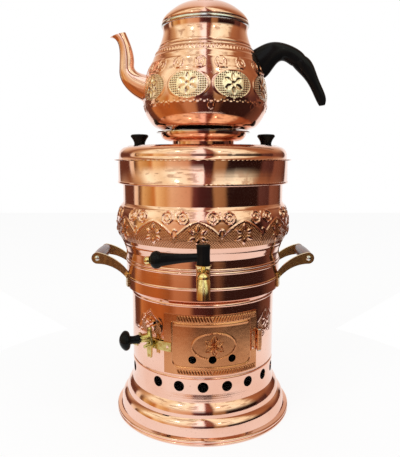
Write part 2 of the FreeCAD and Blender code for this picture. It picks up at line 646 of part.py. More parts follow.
# Strainer: holes in the pot's wall behind the spout, one ring of six round a middle one
strainer_hole = mirrored_left(Part.makeCylinder(
    STRAINER_HOLE_RADIUS, POT_BELLY_RADIUS, Vector(POT_BASE_RADIUS / 2, 0, spout_root), Vector(1, 0, 0)))
teapot_body = teapot_body.cut(strainer_hole)
for i in range(STRAINER_RING):
    turn = math.radians(ROUND * i / STRAINER_RING)
    offset = Vector(0, STRAINER_PITCH * math.cos(turn), STRAINER_PITCH * math.sin(turn))
    teapot_body = teapot_body.cut(strainer_hole.translated(offset))

# Teapot handle: a moulded horn with a flange that hugs the pot, held by two screws from inside
handle_root = pot_foot + HANDLE_HEIGHT
pot_with_room = solid_of((0, pot_foot), (POT_BASE_RADIUS + FIT, pot_foot),
                         [(radius + FIT, height) for radius, height in pot_profile], (0, pot_top))
teapot_handle = side_tube(HANDLE_STATIONS, handle_root).cut(pot_with_room)
teapot_handle = max(teapot_handle.Solids, key=lambda piece: piece.Volume)
sideways = Vector(1, 0, 0)
handle_screws = []
for side in (-1, 1):
    screw_height = handle_root + HANDLE_SCREW_LIFT + side * HANDLE_SCREW_SPACING / 2
    tip = pot_radius(screw_height) + HANDLE_SCREW_BITE
    seat = pot_radius(screw_height + RIVET_HEAD_RADIUS) - 1.5 * SHEET
    shank = Part.makeCylinder(RIVET_RADIUS, tip - seat, Vector(seat, 0, screw_height), sideways)
    head = Part.makeCylinder(RIVET_HEAD_RADIUS, RIVET_HEAD,
                             Vector(seat - RIVET_HEAD, 0, screw_height), sideways)
    hole = Part.makeCylinder(RIVET_RADIUS + FIT, tip + FIT - seat,
                             Vector(seat, 0, screw_height), sideways)
    handle_screws.append(shank.fuse(head).removeSplitter())
    teapot_body = teapot_body.cut(hole)
    teapot_handle = teapot_handle.cut(hole)
nodes["teapot_body"] = teapot_body
nodes["teapot_handle"] = teapot_handle
nodes["teapot_handle_screws"] = Part.makeCompound(handle_screws)

# Teapot lid: a low dome on a flat seat, with a skirt inside the mouth
pot_lid_radius = POT_MOUTH_RADIUS + POT_LID_PROUD
pot_lid_dome = [
    (pot_lid_radius - 1.5 * SHEET, pot_lid_foot + 0.2 * POT_LID_RISE),
    (0.855 * pot_lid_radius, pot_lid_foot + 0.44 * POT_LID_RISE),
    (0.69 * pot_lid_radius, pot_lid_foot + 0.7 * POT_LID_RISE),
    (0.45 * pot_lid_radius, pot_lid_foot + 0.92 * POT_LID_RISE),
    (FINIAL_FLANGE_RADIUS, pot_lid_top)]
pot_skirt_radius = POT_MOUTH_RADIUS - SHEET - POT_LID_SKIRT_ROOM
teapot_lid = sheet(outline((pot_lid_radius, pot_lid_foot), (pot_lid_radius, pot_lid_foot + SHEET),
                           pot_lid_dome, (0, pot_lid_top)), SHEET)
teapot_lid = teapot_lid.fuse([
    ring(pot_skirt_radius - LINER, pot_lid_radius - SHEET / 2, pot_lid_foot, pot_lid_foot + LINER),
    ring(pot_skirt_radius - LINER, pot_skirt_radius, pot_rim_top - POT_LID_SKIRT, pot_lid_foot + LINER)])
finial_bite = FINIAL_HEIGHT / 2
teapot_lid = teapot_lid.cut(post(screw_radius + FIT, pot_lid_top - 2 * SHEET, pot_lid_top + SHEET))
nodes["teapot_lid"] = teapot_lid.removeSplitter()

# Finial: a turned copper knob on a thin flange, screwed on from below
finial_cap = pot_lid_top + 0.92 * FINIAL_HEIGHT
finial = solid_of(
    (0, pot_lid_top), (FINIAL_FLANGE_RADIUS, pot_lid_top), (FINIAL_FLANGE_RADIUS, pot_lid_top + LINER),
    (FINIAL_RADIUS, pot_lid_top + 2 * LINER), (FINIAL_RADIUS, pot_lid_top + 0.55 * FINIAL_HEIGHT),
    (FINIAL_RADIUS, pot_lid_top + 0.8 * FINIAL_HEIGHT, 0.7 * FINIAL_RADIUS, finial_cap),
    dome(0.7 * FINIAL_RADIUS, finial_cap, pot_lid_top + FINIAL_HEIGHT))
nodes["finial"] = finial.cut(post(screw_radius + FIT, pot_lid_top, pot_lid_top + finial_bite + FIT))
finial_screw = post(screw_radius, pot_lid_top - SHEET, pot_lid_top + finial_bite)
finial_screw_head = post(RIVET_HEAD_RADIUS, pot_lid_top - SHEET - RIVET_HEAD, pot_lid_top - SHEET)
nodes["finial_screw"] = finial_screw.fuse(finial_screw_head).removeSplitter()

# The crown and the teapot stand loose, and the photo shows both a little to the right
for name in ("crown", "crown_rim"):
    nodes[name] = nodes[name].translated(Vector(CROWN_ASIDE, 0, 0))
for name in ("teapot_body", "teapot_rim", "teapot_spout", "teapot_handle", "teapot_handle_screws",
             "teapot_lid", "finial", "finial_screw"):
    nodes[name] = nodes[name].translated(Vector(POT_ASIDE, 0, 0))

# Side handles: a turned wooden grip between two cast arms, riveted to the drum on each side
tank_body = solid_of((0, tank_foot), (DRUM_RADIUS, tank_foot), *tank_steps, (0, collar_top - SHEET))
arm_middle = GRIP_LENGTH / 2 + ARM_THICKNESS / 2
arm_root_reach = math.sqrt(DRUM_RADIUS ** 2 - arm_middle ** 2)
arm_root_height = ARM_FOOT_HEIGHT + ARM_ROOT_LIFT
span = Vector(GRIP_REACH - arm_root_reach, 0, GRIP_HEIGHT - arm_root_height)
across_span = Vector(-span.z, 0, span.x).normalize()
arm_root = Vector(arm_root_reach, 0, arm_root_height)
arm_end = Vector(GRIP_REACH, 0, GRIP_HEIGHT)
bow = arm_root + span * 0.5 + across_span * ARM_BOW
up = Vector(0, 0, ARM_END_RADIUS)
arm_face = Part.Face(Part.Wire([
    Part.Arc(arm_end + up, bow + across_span * (ARM_WIDTH / 2),
             arm_root + across_span * (ARM_FOOT_WIDTH / 2)).toShape(),
    Part.makeLine(arm_root + across_span * (ARM_FOOT_WIDTH / 2),
                  arm_root - across_span * (ARM_FOOT_WIDTH / 2)),
    Part.Arc(arm_root - across_span * (ARM_FOOT_WIDTH / 2), bow - across_span * (ARM_WIDTH / 2),
             arm_end - up).toShape(),
    Part.Arc(arm_end - up, arm_end + Vector(ARM_END_RADIUS, 0, 0), arm_end + up).toShape()]))
arm = arm_face.extrude(Vector(0, -ARM_THICKNESS, 0)).translated(Vector(0, -GRIP_LENGTH / 2, 0))
pad_azimuth = QUARTER - math.degrees(math.asin(arm_middle / DRUM_RADIUS))
pad_half_deg = math.degrees(ARM_PAD_WIDTH / 2 / DRUM_RADIUS)
pad_radius = DRUM_RADIUS + ARM_PAD_THICKNESS
pad = sector(DRUM_RADIUS - SHEET, pad_radius, ARM_FOOT_HEIGHT - ARM_PAD_HEIGHT / 2,
             ARM_FOOT_HEIGHT + ARM_PAD_HEIGHT / 2, pad_azimuth - pad_half_deg, pad_azimuth + pad_half_deg)
arm_rivet_height = ARM_FOOT_HEIGHT - ARM_RIVET_DROP
arm_rivet = swing(rivet(DRUM_RADIUS - SHEET, pad_radius, arm_rivet_height), pad_azimuth)
arm_rivet_hole = swing(rivet_hole(DRUM_RADIUS - SHEET, pad_radius, arm_rivet_height), pad_azimuth)
grip_screw_hole = post(GRIP_SCREW_RADIUS + FIT, GRIP_LENGTH / 2 + ARM_THICKNESS - GRIP_SCREW_LENGTH - FIT,
                       GRIP_LENGTH / 2 + 2 * ARM_THICKNESS)


def along_grip(shape):
    """Lay a piece that was built upright on the axis into the right-hand grip, its top to the front."""
    laid = shape.copy()
    laid.rotate(ORIGIN, Vector(1, 0, 0), QUARTER)
    return laid.translated(arm_end)


arm = arm.fuse(pad).cut(tank_body).cut(arm_rivet_hole).cut(along_grip(grip_screw_hole)).removeSplitter()
half_grip = GRIP_LENGTH / 2
grip = solid_of((0, -half_grip), (GRIP_END_RADIUS, -half_grip),
                (GRIP_RADIUS, 0, GRIP_END_RADIUS, half_grip), (0, half_grip))
screw_dome = (GRIP_SCREW_HEAD_RADIUS ** 2 + GRIP_SCREW_HEAD ** 2) / (2 * GRIP_SCREW_HEAD)
screw_seat = half_grip + ARM_THICKNESS
grip_screw = post(GRIP_SCREW_HEAD_RADIUS, screw_seat, screw_seat + GRIP_SCREW_HEAD).common(
    Part.makeSphere(screw_dome, at(0, screw_seat + GRIP_SCREW_HEAD - screw_dome)))
grip_screw = grip_screw.fuse(post(GRIP_SCREW_RADIUS, screw_seat - GRIP_SCREW_LENGTH, screw_seat))
grip_screw = along_grip(grip_screw.removeSplitter())
grip = along_grip(grip).cut(along_grip(grip_screw_hole))
grip = grip.cut(mirrored_back(along_grip(grip_screw_hole)))
grip_screws = []
arm_rivets = []
for side, to_side in (("right", lambda shape: shape), ("left", mirrored_left)):
    nodes["grip_" + side] = to_side(grip)
    for end, to_end in (("front", lambda shape: shape), ("back", mirrored_back)):
        nodes["arm_" + side + "_" + end] = to_side(to_end(arm))
        grip_screws.append(to_side(to_end(grip_screw)))
        arm_rivets.append(to_side(to_end(arm_rivet)))
        tank_shell = tank_shell.cut(to_side(to_end(arm_rivet_hole)))
nodes["grip_screws"] = Part.makeCompound(grip_screws)
nodes["arm_rivets"] = Part.makeCompound(arm_rivets)

# Tap body: threaded shank, upright barrel, elbow and down-turned spout
drum_inside = DRUM_RADIUS - SHEET
nut_face = math.sqrt(drum_inside ** 2 - TAP_NUT_RADIUS ** 2) - FIT
shank_end = nut_face - TAP_NUT - TAP_SHANK_INSIDE / 2
flange_face = DRUM_RADIUS + TAP_WASHER
barrel_bottom = TAP_HEIGHT - TAP_BARREL_BELOW
barrel_top = TAP_HEIGHT + TAP_BARREL_ABOVE
spout_bottom = TAP_HEIGHT - TAP_SPOUT_DROP
spout_reach = TAP_BARREL_REACH + TAP_SPOUT_AHEAD
collar_taper = Part.makeCone(TAP_BARREL_RADIUS, TAP_COLLAR_RADIUS, TAP_COLLAR / 2,
                             Vector(0, -TAP_BARREL_REACH, barrel_top - TAP_COLLAR), AXIS)
tap_body = bar(TAP_SHANK_RADIUS, shank_end, TAP_BARREL_REACH, TAP_HEIGHT).fuse([
    bar(TAP_FLANGE_RADIUS, flange_face, flange_face + TAP_FLANGE, TAP_HEIGHT),
    post(TAP_BARREL_RADIUS, barrel_bottom, barrel_top, TAP_BARREL_REACH),
    collar_taper,
    post(TAP_COLLAR_RADIUS, barrel_top - TAP_COLLAR / 2, barrel_top, TAP_BARREL_REACH),
    bar(TAP_LINK_RADIUS, TAP_BARREL_REACH, spout_reach, TAP_HEIGHT),
    Part.makeSphere(TAP_LINK_RADIUS, Vector(0, -spout_reach, TAP_HEIGHT)),
    post(TAP_SPOUT_RADIUS, spout_bottom, TAP_HEIGHT - TAP_SPOUT_SHOULDER, spout_reach)])
for bore in (
        bar(TAP_SHANK_BORE, shank_end, spout_reach, TAP_HEIGHT),
        post(PLUG_RADIUS + FIT, barrel_bottom, barrel_top, TAP_BARREL_REACH),
        post(TAP_SPOUT_BORE, spout_bottom, TAP_HEIGHT, spout_reach)):
    tap_body = tap_body.cut(bore)
nodes["tap_body"] = tap_body.removeSplitter()
shank_hole = bar(TAP_SHANK_RADIUS + FIT, shank_end, flange_face, TAP_HEIGHT)
washer = bar(TAP_FLANGE_RADIUS, drum_inside, flange_face, TAP_HEIGHT)
nodes["tap_washer"] = washer.cut(tank_body).cut(shank_hole)
tap_nut = hexagon(TAP_NUT_RADIUS, 0, TAP_NUT)
tap_nut.rotate(ORIGIN, Vector(1, 0, 0), QUARTER)
nodes["tap_nut"] = tap_nut.translated(Vector(0, TAP_NUT - nut_face, TAP_HEIGHT)).cut(shank_hole)
nodes["tank_shell"] = tank_shell.cut(shank_hole)

# Tap plug: a ground plug with a cross port, held down by a washer and nut under the barrel
port = Part.makeCylinder(PLUG_PORT, 4 * PLUG_RADIUS,
                         Vector(-2 * PLUG_RADIUS, -TAP_BARREL_REACH, TAP_HEIGHT), sideways)
washer_top = barrel_bottom - SEAT_GAP
plug_foot = washer_top - PLUG_WASHER - PLUG_NUT - PLUG_TAIL_PROUD
head_foot = barrel_top + SEAT_GAP
tap_plug = post(PLUG_RADIUS, barrel_bottom, head_foot, TAP_BARREL_REACH).cut(port)
tap_plug = tap_plug.fuse([
    post(PLUG_STEM_RADIUS, head_foot, head_foot + PLUG_STEM, TAP_BARREL_REACH),
    post(PLUG_TAIL_RADIUS, plug_foot, barrel_bottom, TAP_BARREL_REACH)])
nodes["tap_plug"] = tap_plug.removeSplitter()
tail_hole = post(PLUG_TAIL_RADIUS + FIT, plug_foot, barrel_bottom, TAP_BARREL_REACH)
nodes["plug_washer"] = post(PLUG_WASHER_RADIUS, washer_top - PLUG_WASHER, washer_top,
                            TAP_BARREL_REACH).cut(tail_hole)
plug_nut = hexagon(PLUG_NUT_RADIUS, washer_top - PLUG_WASHER - PLUG_NUT, washer_top - PLUG_WASHER)
nodes["plug_nut"] = plug_nut.translated(Vector(0, -TAP_BARREL_REACH, 0)).cut(tail_hole)

# Tap handle: a moulded head with a lever that swells towards its end, and a metal tip
head_top = head_foot + TAP_HEAD_HEIGHT
tap_head = solid_of(
    (0, head_foot), (TAP_HEAD_RADIUS, head_foot),
    (TAP_HEAD_RADIUS - TAP_HEAD_EDGE / 4, head_foot + TAP_HEAD_HEIGHT / 2,
     TAP_HEAD_RADIUS, head_top - TAP_HEAD_EDGE),
    (TAP_HEAD_RADIUS - 0.3 * TAP_HEAD_EDGE, head_top - 0.3 * TAP_HEAD_EDGE,
     TAP_HEAD_RADIUS - TAP_HEAD_EDGE, head_top), (0, head_top))
lever = solid_of(
    (0, 0), (LEVER_NECK_RADIUS, 0), (LEVER_NECK_RADIUS, TAP_HEAD_RADIUS),
    [(0.75 * LEVER_NECK_RADIUS + 0.25 * LEVER_END_RADIUS, 0.45 * LEVER_LENGTH),
     (LEVER_END_RADIUS, 0.8 * LEVER_LENGTH)],
    (LEVER_END_RADIUS, 0.97 * LEVER_LENGTH, LEVER_TIP_RADIUS, LEVER_LENGTH), (0, LEVER_LENGTH))
lever_tip = solid_of(
    (0, LEVER_LENGTH), (LEVER_TIP_RADIUS, LEVER_LENGTH), (LEVER_TIP_RADIUS, LEVER_LENGTH + 0.6 * LEVER_TIP),
    dome(LEVER_TIP_RADIUS, LEVER_LENGTH + 0.6 * LEVER_TIP, LEVER_LENGTH + LEVER_TIP))
lever_place = Vector(0, 0, head_foot + LEVER_ABOVE_HEAD_FOOT)
lever_lean = QUARTER + math.degrees(math.asin(LEVER_DROOP / LEVER_LENGTH))
for piece in (lever, lever_tip):
    piece.rotate(ORIGIN, Vector(0, -1, 0), lever_lean)
    piece.translate(lever_place)
barrel_place = Vector(0, -TAP_BARREL_REACH, 0)
stem_hole = post(PLUG_STEM_RADIUS + FIT, head_foot, head_foot + PLUG_STEM + FIT, TAP_BARREL_REACH)
tap_handle = tap_head.fuse(lever).translated(barrel_place).cut(stem_hole)
nodes["tap_handle"] = tap_handle.removeSplitter()
nodes["lever_tip"] = lever_tip.translated(barrel_place)

# Fire door: a curved plate with pressed borders, a framed panel, a cartouche and draught holes
door_inner = FIREBOX_RADIUS + SEAT_GAP
door_outer = door_inner + SHEET
relief = door_outer + DOOR_RELIEF
door_right = HINGE_AZIMUTH - DOOR_EDGE_ROOM_DEG
frame_deg = math.degrees(DOOR_FRAME / door_outer)
panel_left, panel_right = DOOR_PANEL_LEFT_AZIMUTH, DOOR_PANEL_RIGHT_AZIMUTH
door_middle = (panel_left + panel_right) / 2
cartouche = Part.Ellipse(ORIGIN, CARTOUCHE_HALF_WIDTH, CARTOUCHE_HALF_HEIGHT).toShape()
cartouche = Part.Face(Part.Wire(cartouche)).extrude(Vector(0, 0, 2 * relief))
cartouche.rotate(ORIGIN, Vector(1, 0, 0), QUARTER)
cartouche = swing(cartouche.translated(at(0, CARTOUCHE_HEIGHT)), door_middle)
door_ring = ring(door_outer, relief, DOOR_BOTTOM, DOOR_TOP)
fire_door = sector(door_inner, door_outer, DOOR_BOTTOM, DOOR_TOP, DOOR_LEFT_AZIMUTH, door_right).fuse([
    sector(door_outer, relief, DOOR_BOTTOM, DOOR_BOTTOM + DOOR_BORDER, DOOR_LEFT_AZIMUTH, door_right),
    sector(door_outer, relief, DOOR_TOP - DOOR_BORDER, DOOR_TOP, DOOR_LEFT_AZIMUTH, door_right),
    sector(door_outer, relief, DOOR_PANEL_TOP - DOOR_FRAME, DOOR_PANEL_TOP, panel_left, panel_right),
    sector(door_outer, relief, DOOR_PANEL_BOTTOM, DOOR_PANEL_TOP, panel_left, panel_left + frame_deg),
    sector(door_outer, relief, DOOR_PANEL_BOTTOM, DOOR_PANEL_TOP, panel_right - frame_deg, panel_right),
    cartouche.common(door_ring)])
for i in (-1, 0, 1):
    hole = bar(DOOR_HOLE_RADIUS, door_inner - SHEET, relief + SHEET, DOOR_HOLE_HEIGHT)
    fire_door = fire_door.cut(swing(hole, door_middle + i * DOOR_HOLE_PITCH_DEG))

# Hinge: two leaves whose knuckles share one pin, each leaf held by two rivets
pin_reach = FIREBOX_RADIUS + HINGE_SWING_ROOM
hinge_top = HINGE_BOTTOM + HINGE_LENGTH
web_deg = math.degrees(HINGE_KNUCKLE_RADIUS / pin_reach)
pitch = HINGE_LENGTH / HINGE_KNUCKLES
body_leaf = sector(FIREBOX_RADIUS, FIREBOX_RADIUS + HINGE_LEAF, HINGE_BOTTOM, hinge_top,
                   HINGE_AZIMUTH + DOOR_EDGE_ROOM_DEG, HINGE_AZIMUTH + HINGE_LEAF_WIDTH_DEG)
door_leaf = sector(door_outer, door_outer + HINGE_LEAF, HINGE_BOTTOM, hinge_top,
                   HINGE_AZIMUTH - HINGE_LEAF_WIDTH_DEG, door_right)
for i in range(HINGE_KNUCKLES):
    low = HINGE_BOTTOM + i * pitch + (HINGE_KNUCKLE_ROOM / 2 if i else 0)
    high = HINGE_BOTTOM + (i + 1) * pitch - (HINGE_KNUCKLE_ROOM / 2 if i < HINGE_KNUCKLES - 1 else 0)
    knuckle = swing(post(HINGE_KNUCKLE_RADIUS, low, high, pin_reach), HINGE_AZIMUTH)
    clear = sector(FIREBOX_RADIUS, pin_reach + HINGE_KNUCKLE_RADIUS, low - HINGE_KNUCKLE_ROOM,
                   high + HINGE_KNUCKLE_ROOM, HINGE_AZIMUTH - web_deg, HINGE_AZIMUTH + web_deg)
    if i % 2:
        web = sector(door_outer, pin_reach, low, high, HINGE_AZIMUTH - web_deg, HINGE_AZIMUTH)
        door_leaf = door_leaf.fuse([knuckle, web])
        body_leaf = body_leaf.cut(clear)
    else:
        web = sector(FIREBOX_RADIUS, pin_reach, low, high, HINGE_AZIMUTH, HINGE_AZIMUTH + web_deg)
        body_leaf = body_leaf.fuse([knuckle, web])
        door_leaf = door_leaf.cut(clear)
pin_hole = swing(post(HINGE_PIN_RADIUS + FIT, HINGE_BOTTOM, hinge_top, pin_reach), HINGE_AZIMUTH)
hinge_pin = post(HINGE_PIN_RADIUS, HINGE_BOTTOM, hinge_top, pin_reach).fuse([
    post(HINGE_PIN_HEAD_RADIUS, hinge_top, hinge_top + HINGE_PIN_HEAD, pin_reach),
    post(HINGE_PIN_HEAD_RADIUS, HINGE_BOTTOM - HINGE_PIN_HEAD, HINGE_BOTTOM, pin_reach)])
nodes["hinge_pin"] = swing(hinge_pin.removeSplitter(), HINGE_AZIMUTH)
leaf_middle = (DOOR_EDGE_ROOM_DEG + web_deg + HINGE_LEAF_WIDTH_DEG) / 2
body_rivets = []
door_rivets = []
flush = ring(0, door_inner, DOOR_BOTTOM, DOOR_TOP)
for height in (HINGE_BOTTOM + 0.75 * pitch, hinge_top - 0.75 * pitch):
    body_rivet = rivet(FIREBOX_RADIUS - SHEET, FIREBOX_RADIUS + HINGE_LEAF, height)
    body_hole = rivet_hole(FIREBOX_RADIUS - SHEET, FIREBOX_RADIUS + HINGE_LEAF, height)
    body_rivets.append(swing(body_rivet, HINGE_AZIMUTH + leaf_middle + RIVET_SHIFT_DEG))
    firebox_shell = firebox_shell.cut(swing(body_hole, HINGE_AZIMUTH + leaf_middle + RIVET_SHIFT_DEG))
    body_leaf = body_leaf.cut(swing(body_hole, HINGE_AZIMUTH + leaf_middle + RIVET_SHIFT_DEG))
    door_rivet = rivet(door_inner, door_outer + HINGE_LEAF, height).cut(flush)
    door_hole = rivet_hole(door_inner, door_outer + HINGE_LEAF, height)
    door_rivets.append(swing(door_rivet, HINGE_AZIMUTH - leaf_middle - RIVET_SHIFT_DEG))
    fire_door = fire_door.cut(swing(door_hole, HINGE_AZIMUTH - leaf_middle - RIVET_SHIFT_DEG))
    door_leaf = door_leaf.cut(swing(door_hole, HINGE_AZIMUTH - leaf_middle - RIVET_SHIFT_DEG))
nodes["hinge_body_leaf"] = body_leaf.cut(pin_hole).removeSplitter()
nodes["hinge_door_leaf"] = door_leaf.cut(pin_hole).removeSplitter()
nodes["hinge_body_rivets"] = Part.makeCompound(body_rivets)

# Latch strap: a brass strap riveted to the door that carries the latch past the door's edge
strap_outer = door_outer + STRAP_THICKNESS
strap_left = LATCH_AZIMUTH - math.degrees(STRAP_PAST_STUD / strap_outer)
strap = sector(door_outer, strap_outer, LATCH_HEIGHT - STRAP_WIDTH / 2, LATCH_HEIGHT + STRAP_WIDTH / 2,
               strap_left, STRAP_RIGHT_AZIMUTH)
strap_rivet = rivet(door_inner, strap_outer, LATCH_HEIGHT).cut(flush)
strap_hole = swing(rivet_hole(door_inner, strap_outer, LATCH_HEIGHT), STRAP_RIVET_AZIMUTH)
stud_tip = door_outer + STUD_LENGTH
stud_hole = bar(STUD_RADIUS + FIT, door_outer, stud_tip + SEAT_GAP, LATCH_HEIGHT)
nodes["latch_strap"] = strap.cut(strap_hole).cut(swing(stud_hole, LATCH_AZIMUTH))
nodes["fire_door"] = fire_door.cut(strap_hole).removeSplitter()
door_rivets.append(swing(strap_rivet, STRAP_RIVET_AZIMUTH))
nodes["door_rivets"] = Part.makeCompound(door_rivets)
nodes["latch_stud"] = swing(bar(STUD_RADIUS, door_outer, stud_tip, LATCH_HEIGHT), LATCH_AZIMUTH)

# Latch bar: it turns on the stud, and its long end swings under the keeper
bar_inner = strap_outer + LATCH_BAR_STANDOFF
bar_outer = bar_inner + LATCH_BAR_THICKNESS
bar_top = LATCH_BAR_UP - LATCH_BAR_END_WIDTH / 2
corners = [(-LATCH_BAR_END_WIDTH / 2, -LATCH_BAR_DOWN), (LATCH_BAR_END_WIDTH / 2, -LATCH_BAR_DOWN),
           (LATCH_BAR_WIDTH / 2, 0), (LATCH_BAR_END_WIDTH / 2, bar_top),
           (-LATCH_BAR_END_WIDTH / 2, bar_top), (-LATCH_BAR_WIDTH / 2, 0)]
bar_points = [Vector(across, -bar_inner, LATCH_HEIGHT + along) for across, along in corners]
bar_plate = Part.Face(Part.makePolygon(bar_points + bar_points[:1])).extrude(
    Vector(0, -LATCH_BAR_THICKNESS, 0))
fork = Part.makeBox(LATCH_FORK_WIDTH, 2 * LATCH_BAR_THICKNESS, LATCH_FORK_DEPTH,
                    Vector(-LATCH_FORK_WIDTH / 2, -bar_outer - LATCH_BAR_THICKNESS / 2,
                           LATCH_HEIGHT - LATCH_BAR_DOWN))
stem_place = Vector(0, -bar_inner - LATCH_BAR_THICKNESS / 2, LATCH_HEIGHT + LATCH_STEM_LIFT)
behind_bar = Part.makeBox(4 * LATCH_STEM_RADIUS, bar_inner, 4 * LATCH_STEM_RADIUS,
                          stem_place + Vector(-2 * LATCH_STEM_RADIUS, LATCH_BAR_THICKNESS / 2,
                                              -2 * LATCH_STEM_RADIUS))


def on_stem(piece):
    """Take a piece that was built upright on the axis to the middle of the bar, and lean it aside."""
    piece.rotate(ORIGIN, Vector(1, 0, 0), QUARTER)
    piece.rotate(ORIGIN, AXIS, LATCH_STEM_TURN)
    return piece.translated(stem_place)


stem_end = LATCH_BAR_THICKNESS / 2 + LATCH_STEM
latch_stem = on_stem(post(LATCH_STEM_RADIUS, 0, stem_end)).cut(behind_bar)
latch_bar = bar_plate.cut(fork).fuse([
    bar(LATCH_BAR_END_WIDTH / 2, bar_inner, bar_outer, LATCH_HEIGHT + bar_top),
    bar(LATCH_BAR_WIDTH / 2, strap_outer + SEAT_GAP, bar_outer, LATCH_HEIGHT),
    latch_stem])
latch_bar = latch_bar.cut(stud_hole)
nodes["latch_bar"] = swing(latch_bar.removeSplitter(), LATCH_AZIMUTH)

# Latch knob: a turned mushroom knob on the end of the stem
knob_length = LATCH_KNOB_LENGTH
latch_knob = solid_of(
    (0, 0), (LATCH_KNOB_NECK_RADIUS, 0), (LATCH_KNOB_NECK_RADIUS, 0.1 * knob_length),
    (0.85 * LATCH_KNOB_NECK_RADIUS, 0.3 * knob_length, LATCH_KNOB_NECK_RADIUS, 0.5 * knob_length),
    (0.97 * LATCH_KNOB_RADIUS, 0.58 * knob_length, LATCH_KNOB_RADIUS, 0.75 * knob_length),
    dome(LATCH_KNOB_RADIUS, 0.75 * knob_length, knob_length))
nodes["latch_knob"] = swing(on_stem(latch_knob.translated(at(0, stem_end))), LATCH_AZIMUTH)

# Keeper: a riveted hook on the firebox, open above and below, whose lip laps the closed bar
riser = LATCH_BAR_UP + KEEPER_ROOM
lip = bar_outer + KEEPER_LIFT
keeper_low = LATCH_HEIGHT - KEEPER_WIDTH / 2
keeper_high = LATCH_HEIGHT + KEEPER_WIDTH / 2
foot_right = -math.degrees(math.asin(riser / FIREBOX_RADIUS))
foot_left = foot_right - math.degrees(KEEPER_FOOT / FIREBOX_RADIUS)
foot_middle = (foot_left + foot_right - math.degrees(KEEPER_THICKNESS / FIREBOX_RADIUS)) / 2
firebox_body = ring(0, FIREBOX_RADIUS, FOOT_HEIGHT, firebox_top)
keeper = Part.makeBox(KEEPER_THICKNESS, lip + KEEPER_THICKNESS - FIREBOX_RADIUS / 2, KEEPER_WIDTH,
                      Vector(-riser - KEEPER_THICKNESS, -lip - KEEPER_THICKNESS, keeper_low)).fuse([
    Part.makeBox(KEEPER_LAP, KEEPER_THICKNESS, KEEPER_WIDTH,
                 Vector(-riser, -lip - KEEPER_THICKNESS, keeper_low)),
    sector(FIREBOX_RADIUS, FIREBOX_RADIUS + KEEPER_THICKNESS, keeper_low, keeper_high,
           foot_left, foot_right)]).cut(firebox_body)
keeper_hole = rivet_hole(FIREBOX_RADIUS - SHEET, FIREBOX_RADIUS + KEEPER_THICKNESS, LATCH_HEIGHT)
keeper_rivet = rivet(FIREBOX_RADIUS - SHEET, FIREBOX_RADIUS + KEEPER_THICKNESS, LATCH_HEIGHT)
keeper = keeper.cut(swing(keeper_hole, foot_middle))
nodes["latch_keeper"] = swing(keeper.removeSplitter(), LATCH_AZIMUTH)
nodes["keeper_rivet"] = swing(keeper_rivet, LATCH_AZIMUTH + foot_middle)
nodes["firebox_shell"] = firebox_shell.cut(swing(keeper_hole, LATCH_AZIMUTH + foot_middle))

os.makedirs("parts", exist_ok=True)
for name, shape in nodes.items():
    shape.exportStep("parts/" + name + ".step")
print(len(nodes), "sub-parts written")
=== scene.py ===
# %% [markdown]
# # A copper samovar with its teapot
# The object is a drum of spun copper with a firebox below, a water tank above and a chimney
# through the middle, on which a teapot stands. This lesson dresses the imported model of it:
# spun shells with their chased flowers, horn-like handles, brass fittings, light and camera.

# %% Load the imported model
import json
import math

import bmesh
import bpy
from mathutils import Matrix, Vector


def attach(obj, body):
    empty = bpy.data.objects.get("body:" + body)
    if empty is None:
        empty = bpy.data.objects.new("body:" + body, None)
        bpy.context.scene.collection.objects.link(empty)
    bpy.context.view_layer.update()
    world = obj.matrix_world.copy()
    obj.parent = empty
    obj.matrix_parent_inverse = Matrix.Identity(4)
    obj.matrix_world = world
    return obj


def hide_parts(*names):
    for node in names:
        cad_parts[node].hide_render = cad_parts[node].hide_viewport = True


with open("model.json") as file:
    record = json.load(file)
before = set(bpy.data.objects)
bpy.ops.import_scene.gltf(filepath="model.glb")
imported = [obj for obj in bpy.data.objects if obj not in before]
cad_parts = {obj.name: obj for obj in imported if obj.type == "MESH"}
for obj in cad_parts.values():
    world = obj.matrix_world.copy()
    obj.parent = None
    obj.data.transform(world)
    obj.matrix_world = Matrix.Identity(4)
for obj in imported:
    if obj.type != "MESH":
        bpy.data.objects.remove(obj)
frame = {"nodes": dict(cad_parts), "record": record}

MM = 0.001
TURN = 2 * math.pi
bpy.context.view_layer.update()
scene = bpy.context.scene

# %% [markdown]
# ## Camera
# A picture of a tall object from close by shows its rims as ellipses. Their flatness gives the
# camera's height, and how they open from top to bottom gives its distance, so a lens measured
# from them puts every rim where it belongs. A long lens would flatten the rims.

# %% Camera at the photograph's place
CAMERA_PLACE = (-0.0033, -0.5985, 0.3038)
CAMERA_PITCH = 82.0
CAMERA_LENS = 39.4

camera_data = bpy.data.cameras.new("camera")
camera_data.lens = CAMERA_LENS
camera = bpy.data.objects.new("camera", camera_data)
camera.location = CAMERA_PLACE
camera.rotation_euler = (math.radians(CAMERA_PITCH), 0, 0)
scene.collection.objects.link(camera)
scene.camera = camera
scene.view_settings.view_transform = "Standard"
print("camera", round(-CAMERA_PLACE[1], 2), "m in front")

# %% [markdown]
# ## Shader sums as plain Python
# A material is a net of nodes, and most of them are sums. A small class wraps a node's output,
# so that `1 - mask * 0.4` adds the nodes by itself. Everything else comes from one method that
# takes the node's kind, its settings and what goes into its sockets.


# %% A socket that does sums
class Wire:
    """A node's output that Python's operators work on."""

    def __init__(self, net, socket):
        self.net = net
        self.socket = socket

    def maths(self, operation, *others):
        """A Math node of this operation on this value and any others."""
        return self.net.add("Math", {"operation": operation}, dict(enumerate((self, *others))))

    def __add__(self, other):
        return self.maths("ADD", other)

    def __sub__(self, other):
        return self.maths("SUBTRACT", other)

    def __rsub__(self, other):
        return self.net.add("Math", {"operation": "SUBTRACT"}, {0: other, 1: self})

    def __mul__(self, other):
        return self.maths("MULTIPLY", other)

    def __truediv__(self, other):
        return self.maths("DIVIDE", other)

    __radd__ = __add__
    __rmul__ = __mul__


